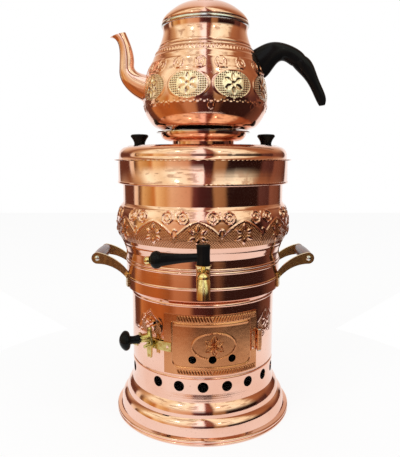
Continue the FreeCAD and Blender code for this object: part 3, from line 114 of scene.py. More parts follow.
class Net:
    """A node tree that is written line by line."""

    def __init__(self, tree):
        self.tree = tree
        tree.nodes.clear()

    def add(self, kind, settings=None, inputs=None, output=0):
        """Any node: its settings first, then the values or links of its sockets."""
        node = self.tree.nodes.new("ShaderNode" + kind)
        for name, value in (settings or {}).items():
            if name == "stops":
                ramp = node.color_ramp
                while len(ramp.elements) < len(value):
                    ramp.elements.new(1.0)
                for element, (place, colour) in zip(ramp.elements, value):
                    element.position = place
                    element.color = (*colour, 1.0)
            elif name == "blend":
                node.color_ramp.interpolation = value
            else:
                setattr(node, name, value)
        for name, value in (inputs or {}).items():
            socket = node.inputs[name]
            if isinstance(value, Wire):
                self.tree.links.new(value.socket, socket)
            else:
                socket.default_value = value
        return Wire(self, node.outputs[output]) if node.outputs else node

    def colour_mix(self, factor, one, two):
        """The first colour where the factor is 0 and the second where it is 1."""
        colours = [value if isinstance(value, Wire) else (*value, 1.0) for value in (one, two)]
        return self.add("Mix", {"data_type": "RGBA"}, {0: factor, 6: colours[0], 7: colours[1]}, 2)

    def split(self, vector):
        """The three parts of a vector."""
        return [self.add("SeparateXYZ", {}, {0: vector}, axis) for axis in range(3)]

    def seen_by(self):
        """Whether camera, mirror or see-through rays look: three sockets of 0 or 1."""
        return [self.add("LightPath", output=name)
                for name in ("Is Camera Ray", "Is Glossy Ray", "Is Transmission Ray")]

    def place(self, scale=(1, 1, 1)):
        """A place on the piece in metres, stretched."""
        spot = self.add("TexCoord", output="Object")
        return self.add("Mapping", {}, {"Vector": spot, "Scale": scale})

    def noise(self, scale, detail=3.0, stretch=(1, 1, 1)):
        """Soft clouds between 0 and 1."""
        return self.add("TexNoise", {}, {"Vector": self.place(stretch), "Scale": scale,
                                         "Detail": detail})

    def steps(self, value, low, high, start=0.0, end=1.0):
        """A soft step from start to end, while the value goes from low to high."""
        return self.add("MapRange", {"interpolation_type": "SMOOTHSTEP"},
                        {"Value": value, "From Min": low, "From Max": high,
                         "To Min": start, "To Max": end})


print("shader sums ready")

# %% [markdown]
# ## The room that the copper mirrors
# Polished copper shows little of itself and much of the room. A white sweep stands behind the
# object, a warm and partly dark room lies in front of it, and bright ceiling light comes from
# above. A photographed room would do as a world, but a room painted by direction is one that
# every stripe can be moved in. Three bands go all round, each a row of degrees and colours:
# one at eye level, one under the ceiling and one down at the table.

# %% Colours round the room, by degrees from the front
WHITE = (1.0, 0.98, 0.97)
LEVEL_BAND = [
    (-180, WHITE), (-149, WHITE), (-146, (0.16, 0.065, 0.04)), (-114, (0.14, 0.05, 0.03)),
    (-111, (1.0, 0.92, 0.75)), (-103, (0.95, 0.85, 0.62)), (-101, (0.10, 0.04, 0.02)),
    (-96, (0.3, 0.16, 0.06)), (-92, (0.78, 0.56, 0.24)), (-80, (0.62, 0.38, 0.12)),
    (-72, (0.6, 0.24, 0.05)), (-66, (0.95, 0.74, 0.36)), (-52, (0.72, 0.44, 0.17)),
    (-44, (0.85, 0.62, 0.38)), (-18, (0.72, 0.44, 0.27)), (-13, (0.16, 0.05, 0.045)),
    (-4, (0.07, 0.02, 0.02)), (13, (0.045, 0.015, 0.015)), (16, (0.42, 0.26, 0.12)),
    (30, (0.34, 0.2, 0.09)), (34, (0.018, 0.006, 0.005)), (80, (0.022, 0.008, 0.006)),
    (86, (0.12, 0.05, 0.04)), (104, (0.08, 0.03, 0.025)), (108, (0.24, 0.1, 0.06)),
    (130, (0.18, 0.07, 0.04)), (142, (0.08, 0.03, 0.02)), (147, WHITE), (180, WHITE)]
CEILING_BAND = [
    (-180, WHITE), (-140, (0.8, 0.6, 0.4)), (-120, (0.3, 0.13, 0.06)), (-100, (0.7, 0.5, 0.26)),
    (-84, (1.25, 1.4, 1.1)), (-60, (1.0, 0.95, 0.65)), (-40, (1.3, 1.5, 1.25)),
    (-20, (1.15, 1.15, 0.9)), (-12, (1.35, 1.45, 1.5)), (1, (1.35, 1.45, 1.5)),
    (4, (0.3, 0.1, 0.08)), (14, (0.25, 0.09, 0.06)), (20, (1.15, 1.2, 0.95)),
    (44, (1.3, 1.5, 1.25)), (70, (1.1, 1.15, 0.85)), (84, (0.45, 0.22, 0.1)),
    (110, (0.34, 0.15, 0.07)), (140, (0.6, 0.4, 0.26)), (180, WHITE)]
LOW_BAND = [
    (-180, WHITE), (-146, WHITE), (-140, (0.12, 0.045, 0.03)), (-122, (0.16, 0.06, 0.03)),
    (-116, (0.6, 0.26, 0.08)), (-96, (0.42, 0.14, 0.035)), (-70, (0.5, 0.17, 0.04)),
    (-50, (0.34, 0.12, 0.035)), (-40, (0.55, 0.26, 0.12)), (-22, (0.5, 0.24, 0.11)),
    (-14, (0.1, 0.03, 0.025)), (14, (0.04, 0.014, 0.012)), (22, (0.16, 0.07, 0.035)),
    (32, (0.03, 0.011, 0.008)), (96, (0.035, 0.013, 0.01)), (112, (0.12, 0.05, 0.03)),
    (138, (0.2, 0.08, 0.05)), (146, WHITE), (180, WHITE)]
print("room painted with", len(LEVEL_BAND) + len(CEILING_BAND) + len(LOW_BAND), "stops")

# %% Walls
world = bpy.data.worlds.new("studio")
world.use_nodes = True
scene.world = world
room = Net(world.node_tree)
heading = room.add("TexCoord", output="Generated")
east, north, rise = room.split(heading)
bearing = east.maths("ARCTAN2", 0 - north) / TURN + 0.5
CEILING_FADE = (0.1, 0.42)
TABLE_FADE = (-0.24, -0.12)


def band(stops):
    """The room's colour all round at one level, from (degrees from the front, colour)."""
    return room.add("ValToRGB", {"blend": "LINEAR",
                                 "stops": [(angle / 360 + 0.5, colour) for angle, colour in stops]},
                    {0: bearing})


upper = room.steps(rise, *CEILING_FADE)
lower = room.steps(rise, *TABLE_FADE, 1.0, 0.0)
walls = room.colour_mix(lower, band(LEVEL_BAND), band(LOW_BAND))
walls = room.colour_mix(upper, walls, band(CEILING_BAND))
print("walls fade into the ceiling at a rise of", CEILING_FADE)

# %% [markdown]
# ## Clutter and windows
# A real room has shelves and people's things under its ceiling, which break its light into
# pieces, and small bright windows, which end as sparks on every bead. Noise by direction does
# for the clutter and is left out behind the object, where the sweep is plain. Each window is a
# small round spot far brighter than white.

# %% Clutter and windows
CLUTTER_SIZE = 4.2
CLUTTER_SHARE = 0.6
SHADE = (0.34, 0.15, 0.06)
WINDOWS = ((-40, 42, 2.4), (25, 38, 2.0))  # azimuth, height and half width, in degrees
WINDOW_LIGHT = (9.0, 9.0, 8.4)


def window(azimuth, height, half):
    """1 towards a round window at these degrees, 0 beside it."""
    turn, lift, half = (math.radians(value) for value in (azimuth, height, half))
    aim = (math.sin(turn) * math.cos(lift), -math.cos(turn) * math.cos(lift), math.sin(lift))
    toward = room.add("VectorMath", {"operation": "DOT_PRODUCT"}, {0: heading, 1: aim}, 1)
    return room.steps(toward, math.cos(half), math.cos(0.6 * half))


shelves = room.add("TexNoise", {}, {
    "Vector": room.add("Mapping", {}, {"Vector": heading, "Scale": (1.0, 1.0, 2.4)}),
    "Scale": CLUTTER_SIZE, "Detail": 2.0, "Roughness": 0.5})
in_front = room.steps(north, -0.1, 0.2, 1.0, 0.0)
cluttered = room.steps(shelves, 0.53, 0.585) * upper * in_front
walls = room.colour_mix(cluttered * CLUTTER_SHARE, walls, SHADE)
for spot in WINDOWS:
    walls = room.colour_mix(window(*spot), walls, WINDOW_LIGHT)
print(len(WINDOWS), "windows in the room")

# %% [markdown]
# ## Who sees the room
# Only mirror rays see the painted room. The camera sees plain white behind the object, and
# matt surfaces are lit by an even grey, so that a black knob keeps its own colour.

# %% World
PLAIN_LEVEL = 0.82

camera_ray, glossy_ray, through_ray = room.seen_by()
mirrored = glossy_ray.maths("MAXIMUM", through_ray)
light = room.colour_mix(mirrored, (PLAIN_LEVEL, PLAIN_LEVEL, PLAIN_LEVEL), walls)
light = room.colour_mix(camera_ray, light, (1, 1, 1))
room.add("OutputWorld", {}, {"Surface": room.add("Background", {}, {"Color": light})})
print("matt surfaces are lit at", PLAIN_LEVEL)

# %% [markdown]
# ## Floor
# The white paper is round in front, with its edge a third of a metre from the samovar's middle,
# and widens to a sweep behind. Its edge matters: below it the copper mirrors white, above it the
# room. The paper glows towards the camera and the copper, so it is nearly as white as the
# background, and the small matt part keeps the object's shadow.

# %% Floor
TABLE_RADIUS = 0.36
TABLE_OPENS = 138
SWEEP_CORNER = (1.9, 2.2)
FLOOR_GLOW = 0.86
PAPER = (0.86, 0.85, 0.84, 1)

floor_shape = bmesh.new()
rim = [(-SWEEP_CORNER[0], SWEEP_CORNER[1])]
for azimuth in range(-TABLE_OPENS, TABLE_OPENS + 1, 6):
    angle = math.radians(azimuth)
    rim.append((TABLE_RADIUS * math.sin(angle), -TABLE_RADIUS * math.cos(angle)))
rim.append(SWEEP_CORNER)
floor_shape.faces.new([floor_shape.verts.new((*place, 0)) for place in rim])
floor_mesh = bpy.data.meshes.new("floor")
floor_shape.to_mesh(floor_mesh)
floor_shape.free()
floor = bpy.data.objects.new("floor", floor_mesh)
scene.collection.objects.link(floor)

paper = bpy.data.materials.new("paper")
paper.use_nodes = True
net = Net(paper.node_tree)
camera_ray, glossy_ray, through_ray = net.seen_by()
shown = camera_ray.maths("MAXIMUM", glossy_ray.maths("MAXIMUM", through_ray))
matt = net.add("BsdfDiffuse", {}, {"Color": PAPER})
glow = net.add("Emission", {}, {"Color": (1, 1, 1, 1), "Strength": 1.0})
net.add("OutputMaterial", {}, {"Surface": net.add(
    "MixShader", {}, {0: shown * FLOOR_GLOW, 1: matt, 2: glow})})
floor_mesh.materials.append(paper)
print("paper laid, its edge", TABLE_RADIUS, "m from the middle")

# %% [markdown]
# ## Lamps
# Two soft lamps light the black knobs and the wood from the front, the left one stronger. Mirror
# rays miss them, as the painted room already shows its own lights.

# %% Lamps, each with its place, size and power
LAMPS = (("lamp_left", (-1.1, -1.2, 1.5), 0.9, 13.0), ("lamp_right", (1.3, -0.8, 1.3), 0.7, 7.0))
LAMPS_AIM = Vector((0, 0, 0.28))

for name, place, size, power in LAMPS:
    lamp_data = bpy.data.lights.new(name, "AREA")
    lamp_data.size = size
    lamp_data.energy = power
    lamp = bpy.data.objects.new(name, lamp_data)
    lamp.location = place
    lamp.visible_glossy = False
    lamp.rotation_euler = (LAMPS_AIM - lamp.location).to_track_quat("-Z", "Y").to_euler()
    scene.collection.objects.link(lamp)
print(len(LAMPS), "lamps placed")

# %% [markdown]
# ## Starting and ending a finish
# Every finish starts as an empty net and ends in one shader with as few linked sockets as it
# needs. Small unevenness is a bump, a shift of the light without a shift of the surface. Bumps
# are chained, each on top of the one below.


# %% Helpers for finishes
def finish_named(name):
    """A new material and its empty net."""
    material = bpy.data.materials.new(name)
    material.use_nodes = True
    return material, Net(material.node_tree)


def shader_out(net, **inputs):
    """The shader that every finish ends in; an underscore in a name stands for a space."""
    sockets = {name.replace("_", " "): value for name, value in inputs.items()}
    net.add("OutputMaterial", {}, {"Surface": net.add("BsdfPrincipled", {}, sockets)})


def bumped(net, height, distance, below=None):
    """The normal of a surface that rises by this distance, in metres, where height is 1."""
    inputs = {"Height": height, "Distance": distance}
    if below:
        inputs["Normal"] = below
    return net.add("Bump", {}, inputs)


print("finishes can be mixed")

# %% [markdown]
# ## Punched dots and painted shade
# The ground between the flowers is matted with a small punch in even rows, too fine to model one
# by one, so the rows are a product of waves on the flattened drum. The inside of the firebox is
# painted black as shade: the painted shade lies wherever the radius is less than the wall's, apart
# from the groove, where the outside dips as deep.


# %% Dots and painted shade
def hatching(net, pitch, radius, slanted):
    """Small dots in rows on a drum of this radius, all in metres: 1 on a dot, 0 between."""
    x, y, v = net.split(net.add("TexCoord", output="Object"))
    u = x.maths("ARCTAN2", 0 - y) * radius
    rows = (u + v, u - v) if slanted else (u, v)
    waves = [(row * (math.pi / pitch)).maths("COSINE") for row in rows]
    return (waves[0] * waves[1]) * (waves[0] * waves[1])


# Painted shade: a mask of the firebox's inner face, which is drawn black.
def painted_shade_within(net, wall, groove):
    """1 inside a wall of this radius, 0 outside it and in the groove at this height, in mm."""
    x, y, height = net.split(net.add("TexCoord", output="Object"))
    reach = (x * x + y * y).maths("SQRT")
    away = (height - groove * MM).maths("ABSOLUTE")
    within = net.steps(reach, (wall - 0.1) * MM, (wall + 0.1) * MM, 1.0, 0.0)
    return within * net.steps(away, 1.9 * MM, 2.2 * MM)


print("dots and soot ready")

# %% [markdown]
# ## A polished metal
# All the metals differ only in colours and numbers, so one function mixes them. Its colour
# drifts between two tones, and specks and hollows keep tarnish: the chasing's depth is kept on
# the mesh as an attribute and darkens them. The sheet is never quite even, which is what makes
# its reflections swim, spinning leaves fine rings, and castings are faintly pitted.

# %% Unevenness
DOT_DEPTH = 0.5
PIT_SCALE = 210.0


def uneven(net, ripple, rings, dents, dots):
    """The normal of a sheet with soft ripples, spinning rings, pits and punched dots, in mm."""
    normal = None
    if ripple:
        normal = bumped(net, net.noise(26.0, 2.0, (1, 1, 0.6)), ripple * MM)
    if rings:
        normal = bumped(net, net.noise(9.0, 2.0, (0.4, 0.4, 60)), rings * MM, below=normal)
    if dents:
        pits = net.add("TexVoronoi", {"feature": "SMOOTH_F1"},
                       {"Vector": net.place(), "Scale": PIT_SCALE, "Smoothness": 0.6})
        normal = bumped(net, pits, dents * MM, below=normal)
    if dots:
        normal = bumped(net, dots, -DOT_DEPTH * MM, below=normal)
    return normal


print("punched dots are", DOT_DEPTH, "mm deep")

# %% Metal
# Painted shade: the near-black colour of the firebox's inner face.
INNER_SHADE = (0.012, 0.01, 0.009)


def metal(name, bright, deep, tarnish, shine, ripple=0.0, rings=0.0, dents=0.0, hatch=None,
          ground_tone=(0.56, 0.24, 0.09), painted_shade_inside=None):
    """A metal from its colours, its roughness, and how far, in mm, its unevenness goes."""
    material, net = finish_named(name)
    cloud = net.noise(14.0, 4.0)
    colour = net.colour_mix(net.steps(cloud, 0.35, 0.7), bright, deep)
    relief = net.add("Attribute", {"attribute_name": "relief"}, output="Fac")
    hollow = net.steps(relief, -0.9, -0.1, 1.0, 0.0)
    colour = net.colour_mix(hollow * 0.75, colour, tarnish)
    dots = None
    if hatch:
        punched = net.add("Attribute", {"attribute_name": "hatch"}, output="Fac")
        ground = net.steps(punched, 0.1, 0.4)
        dots = hatching(net, *hatch) * net.steps(punched, 0.6, 0.9)
        colour = net.colour_mix(ground * 0.8, colour, ground_tone)
        colour = net.colour_mix(dots * 0.85, colour, tarnish)
    speck = net.steps(net.noise(420.0, 2.0), 0.62, 0.78)
    colour = net.colour_mix(speck * 0.25, colour, tarnish)
    scratch = net.noise(60.0, 4.0, (1, 1, 16))
    roughness = shine + 0.05 * net.steps(scratch, 0.4, 0.75) + 0.16 * hollow + 0.1 * speck
    # Painted shade: the firebox's inner face is drawn black and rough.
    if painted_shade_inside:
        darkening = painted_shade_within(net, *painted_shade_inside)
        colour = net.colour_mix(darkening, colour, INNER_SHADE)
        roughness = roughness + 0.6 * darkening
    inputs = {"Base_Color": colour, "Metallic": 1.0, "Roughness": roughness}
    normal = uneven(net, ripple, rings, dents, dots)
    if normal:
        inputs["Normal"] = normal
    shader_out(net, **inputs)
    return material


print("metals can be mixed")

# %% [markdown]
# ## Copper
# Copper is bright pink where it mirrors white. The tank's belt has slanting rows of dots on a
# brown ground, the teapot's medallions upright rows on a pale ground, and the firebox has painted
# shade inside. The door and the hinge are duller and browner than the rest, as they are handled and
# get hot.

# %% Coppers
FIREBOX_RADIUS = 85.4
GROOVE = 67.5
COPPER_BRIGHT = (0.93, 0.6, 0.48)
COPPER_DEEP = (0.86, 0.49, 0.36)
COPPER_TARNISH = (0.26, 0.09, 0.045)
copper = metal("copper", COPPER_BRIGHT, COPPER_DEEP, COPPER_TARNISH, 0.07, ripple=0.5, rings=0.03)
chased_copper = metal("chased_copper", COPPER_BRIGHT, COPPER_DEEP, COPPER_TARNISH, 0.08,
                      ripple=0.5, rings=0.03, hatch=(2.9 * MM, 101 * MM, True))
pot_copper = metal("pot_copper", COPPER_BRIGHT, COPPER_DEEP, (0.12, 0.04, 0.015), 0.08,
                   ripple=0.4, rings=0.02, hatch=(2.3 * MM, 71 * MM, False),
                   ground_tone=(0.99, 0.84, 0.62))
# The firebox's inner face carries painted shade.
fire_copper = metal("fire_copper", COPPER_BRIGHT, COPPER_DEEP, COPPER_TARNISH, 0.08,
                    ripple=0.5, rings=0.03, hatch=(2.9 * MM, FIREBOX_RADIUS * MM, True),
                    painted_shade_inside=(FIREBOX_RADIUS - 1.0, GROOVE))
door_copper = metal("door_copper", (0.7, 0.31, 0.14), (0.54, 0.21, 0.085), (0.2, 0.07, 0.03), 0.24,
                    ripple=0.4, dents=0.05)
print("five coppers mixed")

# %% [markdown]
# ## Brass, tin, steel and a sheet black with painted shade
# The tap is bright brass. The latch is greener and pitted, and the handles' arms are older and
# more golden. Tin lines the rims and, dull, the hidden sheet. The ash floor is black as painted shade.

# %% Other metals
# Painted shade: the ash floor inside the firebox is drawn nearly black.
shade_black_sheet = metal("shade_black_sheet", (0.05, 0.045, 0.04), (0.02, 0.018, 0.016), (0.01, 0.01, 0.01), 0.7,
                    dents=0.2)
brass = metal("brass", (0.86, 0.68, 0.32), (0.72, 0.55, 0.2), (0.22, 0.15, 0.04), 0.11, ripple=0.06)
latch_brass = metal("latch_brass", (0.72, 0.6, 0.24), (0.6, 0.48, 0.16), (0.2, 0.15, 0.05), 0.26,
                    dents=0.2)
aged_brass = metal("aged_brass", (0.78, 0.58, 0.28), (0.62, 0.43, 0.18), (0.2, 0.1, 0.04), 0.24,
                   dents=0.12)
tin = metal("tin", (0.82, 0.81, 0.79), (0.68, 0.66, 0.63), (0.3, 0.24, 0.2), 0.14, ripple=0.3)
tinned_sheet = metal("tinned_sheet", (0.6, 0.58, 0.55), (0.46, 0.44, 0.41), (0.2, 0.17, 0.14), 0.4,
                     dents=0.2)
steel = metal("steel", (0.72, 0.71, 0.69), (0.6, 0.59, 0.57), (0.25, 0.22, 0.2), 0.2)
print("seven other metals mixed")

# %% [markdown]
# ## Black moulding
# The knobs and the teapot's handle are moulded, nearly black, with a deep gloss, faint orange
# peel and patches that hands have worn dull. A black object shows nothing but its gloss, so the
# gloss is kept low and the lamps draw its edges.

# %% Black moulding
bakelite, net = finish_named("bakelite")
mould = net.noise(55.0, 4.0)
wear = net.steps(net.noise(180.0, 3.0), 0.6, 0.8)
shader_out(net, Base_Color=net.colour_mix(mould, (0.003, 0.003, 0.003), (0.009, 0.008, 0.008)),
           Roughness=0.09 + 0.08 * mould + 0.2 * wear, Normal=bumped(net, mould, 0.25 * MM),
           Specular_IOR_Level=0.08)
print("black moulding mixed")

# %% [markdown]
# ## Red wood
# The grips are turned from wood, stained dark red and lacquered. The grain runs along the
# turning: waves stretched along one axis, with long dark pores between.

# %% Red wood
grip_wood, net = finish_named("grip_wood")
grain = net.add("TexWave", {"wave_type": "BANDS", "bands_direction": "Z"}, {
    "Vector": net.place((1, 0.12, 1)), "Scale": 90.0, "Distortion": 5.0, "Detail": 3.0})
pore = net.steps(net.noise(300.0, 3.0, (1, 0.08, 1)), 0.55, 0.75)
colour = net.colour_mix(grain, (0.2, 0.045, 0.03), (0.085, 0.018, 0.014))
shader_out(net, Base_Color=net.colour_mix(pore * 0.6, colour, (0.03, 0.008, 0.007)),
           Roughness=0.3 + 0.2 * pore, Normal=bumped(net, pore, -0.15 * MM),
           Coat_Weight=0.25, Coat_Roughness=0.15)
print("red wood mixed")

# %% [markdown]
# ## Rubber and iron
# The tap's washer is dull rubber with a grey bloom. The grate is cast iron, so it is rough all
# over, and soot hides the metal where it lies.

# %% Rubber and iron
washer_rubber, net = finish_named("washer_rubber")
bloom = net.noise(240.0, 3.0)
shader_out(net, Base_Color=net.colour_mix(bloom, (0.02, 0.02, 0.02), (0.06, 0.058, 0.055)),
           Roughness=0.7 + 0.15 * bloom, Normal=bumped(net, bloom, 0.1 * MM))

grate_iron, net = finish_named("grate_iron")
cast = net.noise(260.0, 5.0)
darkening = net.steps(net.noise(30.0, 3.0), 0.4, 0.65)
colour = net.colour_mix(darkening, (0.1, 0.085, 0.08), (0.015, 0.014, 0.013))
shader_out(net, Base_Color=colour, Roughness=0.6 + 0.3 * darkening, Metallic=0.6 - 0.5 * darkening,
           Normal=bumped(net, cast, 0.6 * MM))

FINISHES = {"copper": copper, "brass": brass, "aged_brass": aged_brass, "tin": tin,
            "tinned_sheet": tinned_sheet, "steel": steel, "black_knob": bakelite,
            "grip_wood": grip_wood, "washer_rubber": washer_rubber, "grate_iron": grate_iron}
print(len(FINISHES), "finishes for the record's slots")

# %% [markdown]
# ## Smooth copies of the turned and cast parts
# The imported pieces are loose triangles, which shade like facets. Where the shape is right, a copy
# with its corners merged and its soft edges shaded smooth looks like the real turned or cast
# part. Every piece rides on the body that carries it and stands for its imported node.

# %% Pieces on their bodies
bodies = frame["record"]["behaviour"]["bodies"]
BODY_OF = {node: body for body, nodes in bodies.items() for node in nodes}
SLOT_OF = {entry["node"]: entry["material_slot"] for entry in frame["record"]["subparts"]}
SHARP_EDGE = math.radians(32)
MERGE = 0.002 * MM


def piece_of(name, mesh, finish, nodes):
    """Puts a finished mesh on the body of the nodes that it stands for."""
    mesh.shade_smooth()
    mesh.set_sharp_from_angle(angle=SHARP_EDGE)
    mesh.materials.clear()
    mesh.materials.append(finish)
    piece = bpy.data.objects.new(name, mesh)
    scene.collection.objects.link(piece)
    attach(piece, BODY_OF[nodes[0]])
    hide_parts(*nodes)


def piece_from(name, shape, finish, nodes):
    """The same from a bmesh, with its doubles merged and its faces turned outwards."""
    bmesh.ops.remove_doubles(shape, verts=shape.verts, dist=MERGE)
    bmesh.ops.recalc_face_normals(shape, faces=shape.faces)
    mesh = bpy.data.meshes.new(name)
    shape.to_mesh(mesh)
    shape.free()
    piece_of(name, mesh, finish, nodes)


def smooth_copy(node, finish=None):
    """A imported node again, merged and shaded smooth."""
    shape = bmesh.new()
    shape.from_mesh(frame["nodes"][node].data)
    bmesh.ops.remove_doubles(shape, verts=shape.verts, dist=MERGE)
    mesh = bpy.data.meshes.new(node + "_smooth")
    shape.to_mesh(mesh)
    shape.free()
    piece_of(node + "_smooth", mesh, finish or FINISHES[SLOT_OF[node]], [node])


# %% [markdown]
# ## Spinning sheet on a lathe
# A spun shell is one outline turned about the axis. The outline is written in millimetres as
# (radius, height), with helpers for an arc through three points and a smooth run through several.
# The outer face gets close steps, so that the chasing can be pressed into it, and the inner face
# follows at the sheet's thickness.


# %% Outlines and the lathe
def arc(start, via, end, count=8):
    """Points on the arc from start to end through via."""
    (ax, ay), (bx, by), (cx, cy) = start, via, end
    double = 2 * (ax * (by - cy) + bx * (cy - ay) + cx * (ay - by))
    sizes = [x * x + y * y for x, y in (start, via, end)]
    ox = (sizes[0] * (by - cy) + sizes[1] * (cy - ay) + sizes[2] * (ay - by)) / double
    oy = (sizes[0] * (cx - bx) + sizes[1] * (ax - cx) + sizes[2] * (bx - ax)) / double
    angles = [math.atan2(y - oy, x - ox) for x, y in (start, via, end)]
    turn = math.copysign(TURN, double)
    spans = [(angle - angles[0]) % turn for angle in angles]
    radius = math.hypot(ax - ox, ay - oy)
    return [(ox + radius * math.cos(angles[0] + spans[2] * i / count),
             oy + radius * math.sin(angles[0] + spans[2] * i / count)) for i in range(count + 1)]


def smooth_run(points, step):
    """A smooth line through the points, with one point every step or so."""
    ends = [[2 * p - q for p, q in zip(points[i], points[j])] for i, j in ((0, 1), (-1, -2))]
    line = [ends[0], *points, ends[1]]
    result = []
    for a, b, c, d in zip(line, line[1:], line[2:], line[3:]):
        count = max(1, round(math.dist(b, c) / step))
        for i in range(count):
            t = i / count
            result.append(tuple(
                0.5 * (2 * q + (r - p) * t + (2 * p - 5 * q + 4 * r - s) * t ** 2
                       + (3 * q - p - 3 * r + s) * t ** 3) for p, q, r, s in zip(a, b, c, d)))
    return result + [tuple(points[-1])]


def fine_run(points, step):
    """Straight runs through the points, with one point every step or so."""
    result = []
    for a, b in zip(points, points[1:]):
        count = max(1, round(math.dist(a, b) / step))
        result += [tuple(p + (q - p) * i / count for p, q in zip(a, b)) for i in range(count)]
    return result + [tuple(points[-1])]


def inside(line, wall, skip=1):
    """The inner line at a wall's thickness to the left of the direction of travel."""
    result = []
    last = len(line) - 1
    for i in sorted({*range(0, last, skip), last}):
        before, after = line[max(i - 1, 0)], line[min(i + 1, last)]
        dx, dy = after[0] - before[0], after[1] - before[1]
        length = math.hypot(dx, dy)
        result.append((max(line[i][0] - wall * dy / length, 0.0), line[i][1] + wall * dx / length))
    return result[::-1]


def turned(outer, inner, steps, relief=None, centre=(0, 0), sweep=(0.0, 360.0)):
    """Spins an outline about the upright axis and presses a relief into its outer face.

    The relief gives, for an azimuth, a height and a radius, how far the sheet is pushed out, in
    mm, and how much of it is matted. Both stay on the mesh for the material to read.
    """
    shape = bmesh.new()
    outside = shape.verts.layers.float.new("outside")
    depth = shape.verts.layers.float.new("relief")
    hatched = shape.verts.layers.float.new("hatch")
    verts = []
    for rank, (radius, height) in enumerate(outer + inner):
        vert = shape.verts.new((0, -radius * MM, height * MM))
        vert[outside] = 1.0 if rank < len(outer) else 0.0
        verts.append(vert)
    edges = [shape.edges.new(pair) for pair in zip(verts, verts[1:])]
    full = sweep[1] - sweep[0] >= 360
    if inner or not full:
        edges.append(shape.edges.new((verts[-1], verts[0])))
    bmesh.ops.rotate(shape, verts=verts, cent=(0, 0, 0),
                     matrix=Matrix.Rotation(math.radians(sweep[0]), 3, "Z"))
    bmesh.ops.spin(shape, geom=verts + edges, cent=(0, 0, 0), axis=(0, 0, 1),
                   angle=math.radians(sweep[1] - sweep[0]), steps=steps, use_merge=full)
    if not full:
        bmesh.ops.holes_fill(shape, edges=[e for e in shape.edges if e.is_boundary], sides=0)
    bmesh.ops.remove_doubles(shape, verts=shape.verts, dist=MERGE)
    bmesh.ops.recalc_face_normals(shape, faces=shape.faces)
    if relief:
        shape.normal_update()
        pushes = []
        for vert in shape.verts:
            if vert[outside] > 0.5:
                azimuth = math.degrees(math.atan2(vert.co.x, -vert.co.y))
                marks = relief(azimuth, vert.co.z / MM, math.hypot(vert.co.x, vert.co.y) / MM)
                pushes.append((vert, *marks))
        for vert, push, hatch in pushes:
            vert.co += vert.normal * push * MM
            vert[depth] = push
            vert[hatched] = hatch
    if centre != (0, 0):
        bmesh.ops.translate(shape, verts=shape.verts, vec=(centre[0] * MM, centre[1] * MM, 0))
    return shape


print("lathe ready")

# %% [markdown]
# ## Chasing
# The flowers, leaves and ropes on such copper are hammered in with a few punches, so they are
# rounded ridges, dots and hollows. Each is a small function of a place on the flattened sheet,
# in millimetres, and a motif is their sum. Pressed into the mesh, they catch real light.


# %% Punches
def ridge(distance, width):
    """A rounded line: 1 on the line, 0 at half its width."""
    share = abs(2 * distance / width)
    return (1 - share * share) ** 2 if share < 1 else 0.0


def step_up(value, low, high):
    """A soft step from 0 to 1, while the value goes from low to high."""
    share = min(max((value - low) / (high - low), 0.0), 1.0)
    return share * share * (3 - 2 * share)


def petals(u, v, count, reach, width, first=90.0, root=0.18, boss=0.9):
    """A flower of pointed petals round a boss."""
    radius = math.hypot(u, v)
    if radius > reach:
        return 0.0
    if radius < root * reach:
        return boss * (1 - (radius / (root * reach)) ** 2)
    pitch = 360 / count
    off = (math.degrees(math.atan2(v, u)) - first + pitch / 2) % pitch - pitch / 2
    along = (radius / reach - root) / (1 - root)
    half = 0.5 * width * math.sin(math.pi * along ** 0.85)
    side = abs(radius * math.sin(math.radians(off)))
    if side >= half or half <= 0:
        return 0.0
    return (1 - (side / half) ** 2) * (0.55 + 0.45 * along) - 0.35 * ridge(side, 0.5 * half)


def scroll(u, v, size):
    """A round volute."""
    radius = math.hypot(u, v)
    return max(ridge(radius - size, 0.34 * size), 0.8 * ridge(radius - 0.45 * size, 0.3 * size))


def beside(azimuth, middle, radius):
    """How far round the sheet, in mm, a place lies from a middle."""
    return math.radians(azimuth - middle) * radius


def repeat(azimuth, count, first, radius):
    """How far round the sheet, in mm, a place lies from the nearest of count motifs."""
    pitch = 360 / count
    off = (azimuth - first + pitch / 2) % pitch - pitch / 2
    return math.radians(off) * radius


print("punches ready")

# %% [markdown]
# ## Foot
# The foot is a stepped skirt on a rolled double bead. It swells from the firebox in two round
# shoulders to a plain leaning band. The curve could be a cone with loops cut in, but an outline
# of arcs keeps each highlight as crisp as the spinner's tool left it.

# %% Foot
WALL = 1.2
FOOT_EDGE = 101.8
ROLL_ROOT = 104.05
ROLL_RADIUS = 105.8
ROLL = 3.5
FOOT_BAND = [(101.2, 8.0), (99.2, 17.3)]
FOOT_STEP = [(93.3, 25.4), (93.3, 26.8)]
LOW_SHOULDER = (97.05, 22.15)
HIGH_SHOULDER = (91.25, 34.0)
FOOT_NECK = (86.8, 40.0)
FOOT_TOP = 49.0


def roll(low):
    """One round of the rolled edge, from this height up."""
    return arc((ROLL_ROOT, low), (ROLL_RADIUS, low + ROLL / 2), (ROLL_ROOT, low + ROLL))


foot_outer = (
    [(FOOT_EDGE, 0.0)] + roll(0.0) + roll(ROLL)[1:] + fine_run(FOOT_BAND, 3)
    + arc(FOOT_BAND[1], LOW_SHOULDER, FOOT_STEP[0], 10)[1:] + FOOT_STEP[1:]
    + arc(FOOT_STEP[1], HIGH_SHOULDER, FOOT_NECK, 14)[1:]
    + fine_run([FOOT_NECK, (FIREBOX_RADIUS, FOOT_TOP)], 2)[1:])
piece_from("foot_shell", turned(foot_outer, inside(foot_outer, WALL, 3), steps=256), copper, ["foot"])
print("foot spun with", len(foot_outer), "rings")

# %% [markdown]
# ## Firebox
# A plain drum with a groove that carries the grate, air holes all round below it, and a flare up
# to the tank. On either side of the door stands a punched gable with a flower and volutes. The
# outline has close steps only where these are, as they need them and the plain wall doesn't.

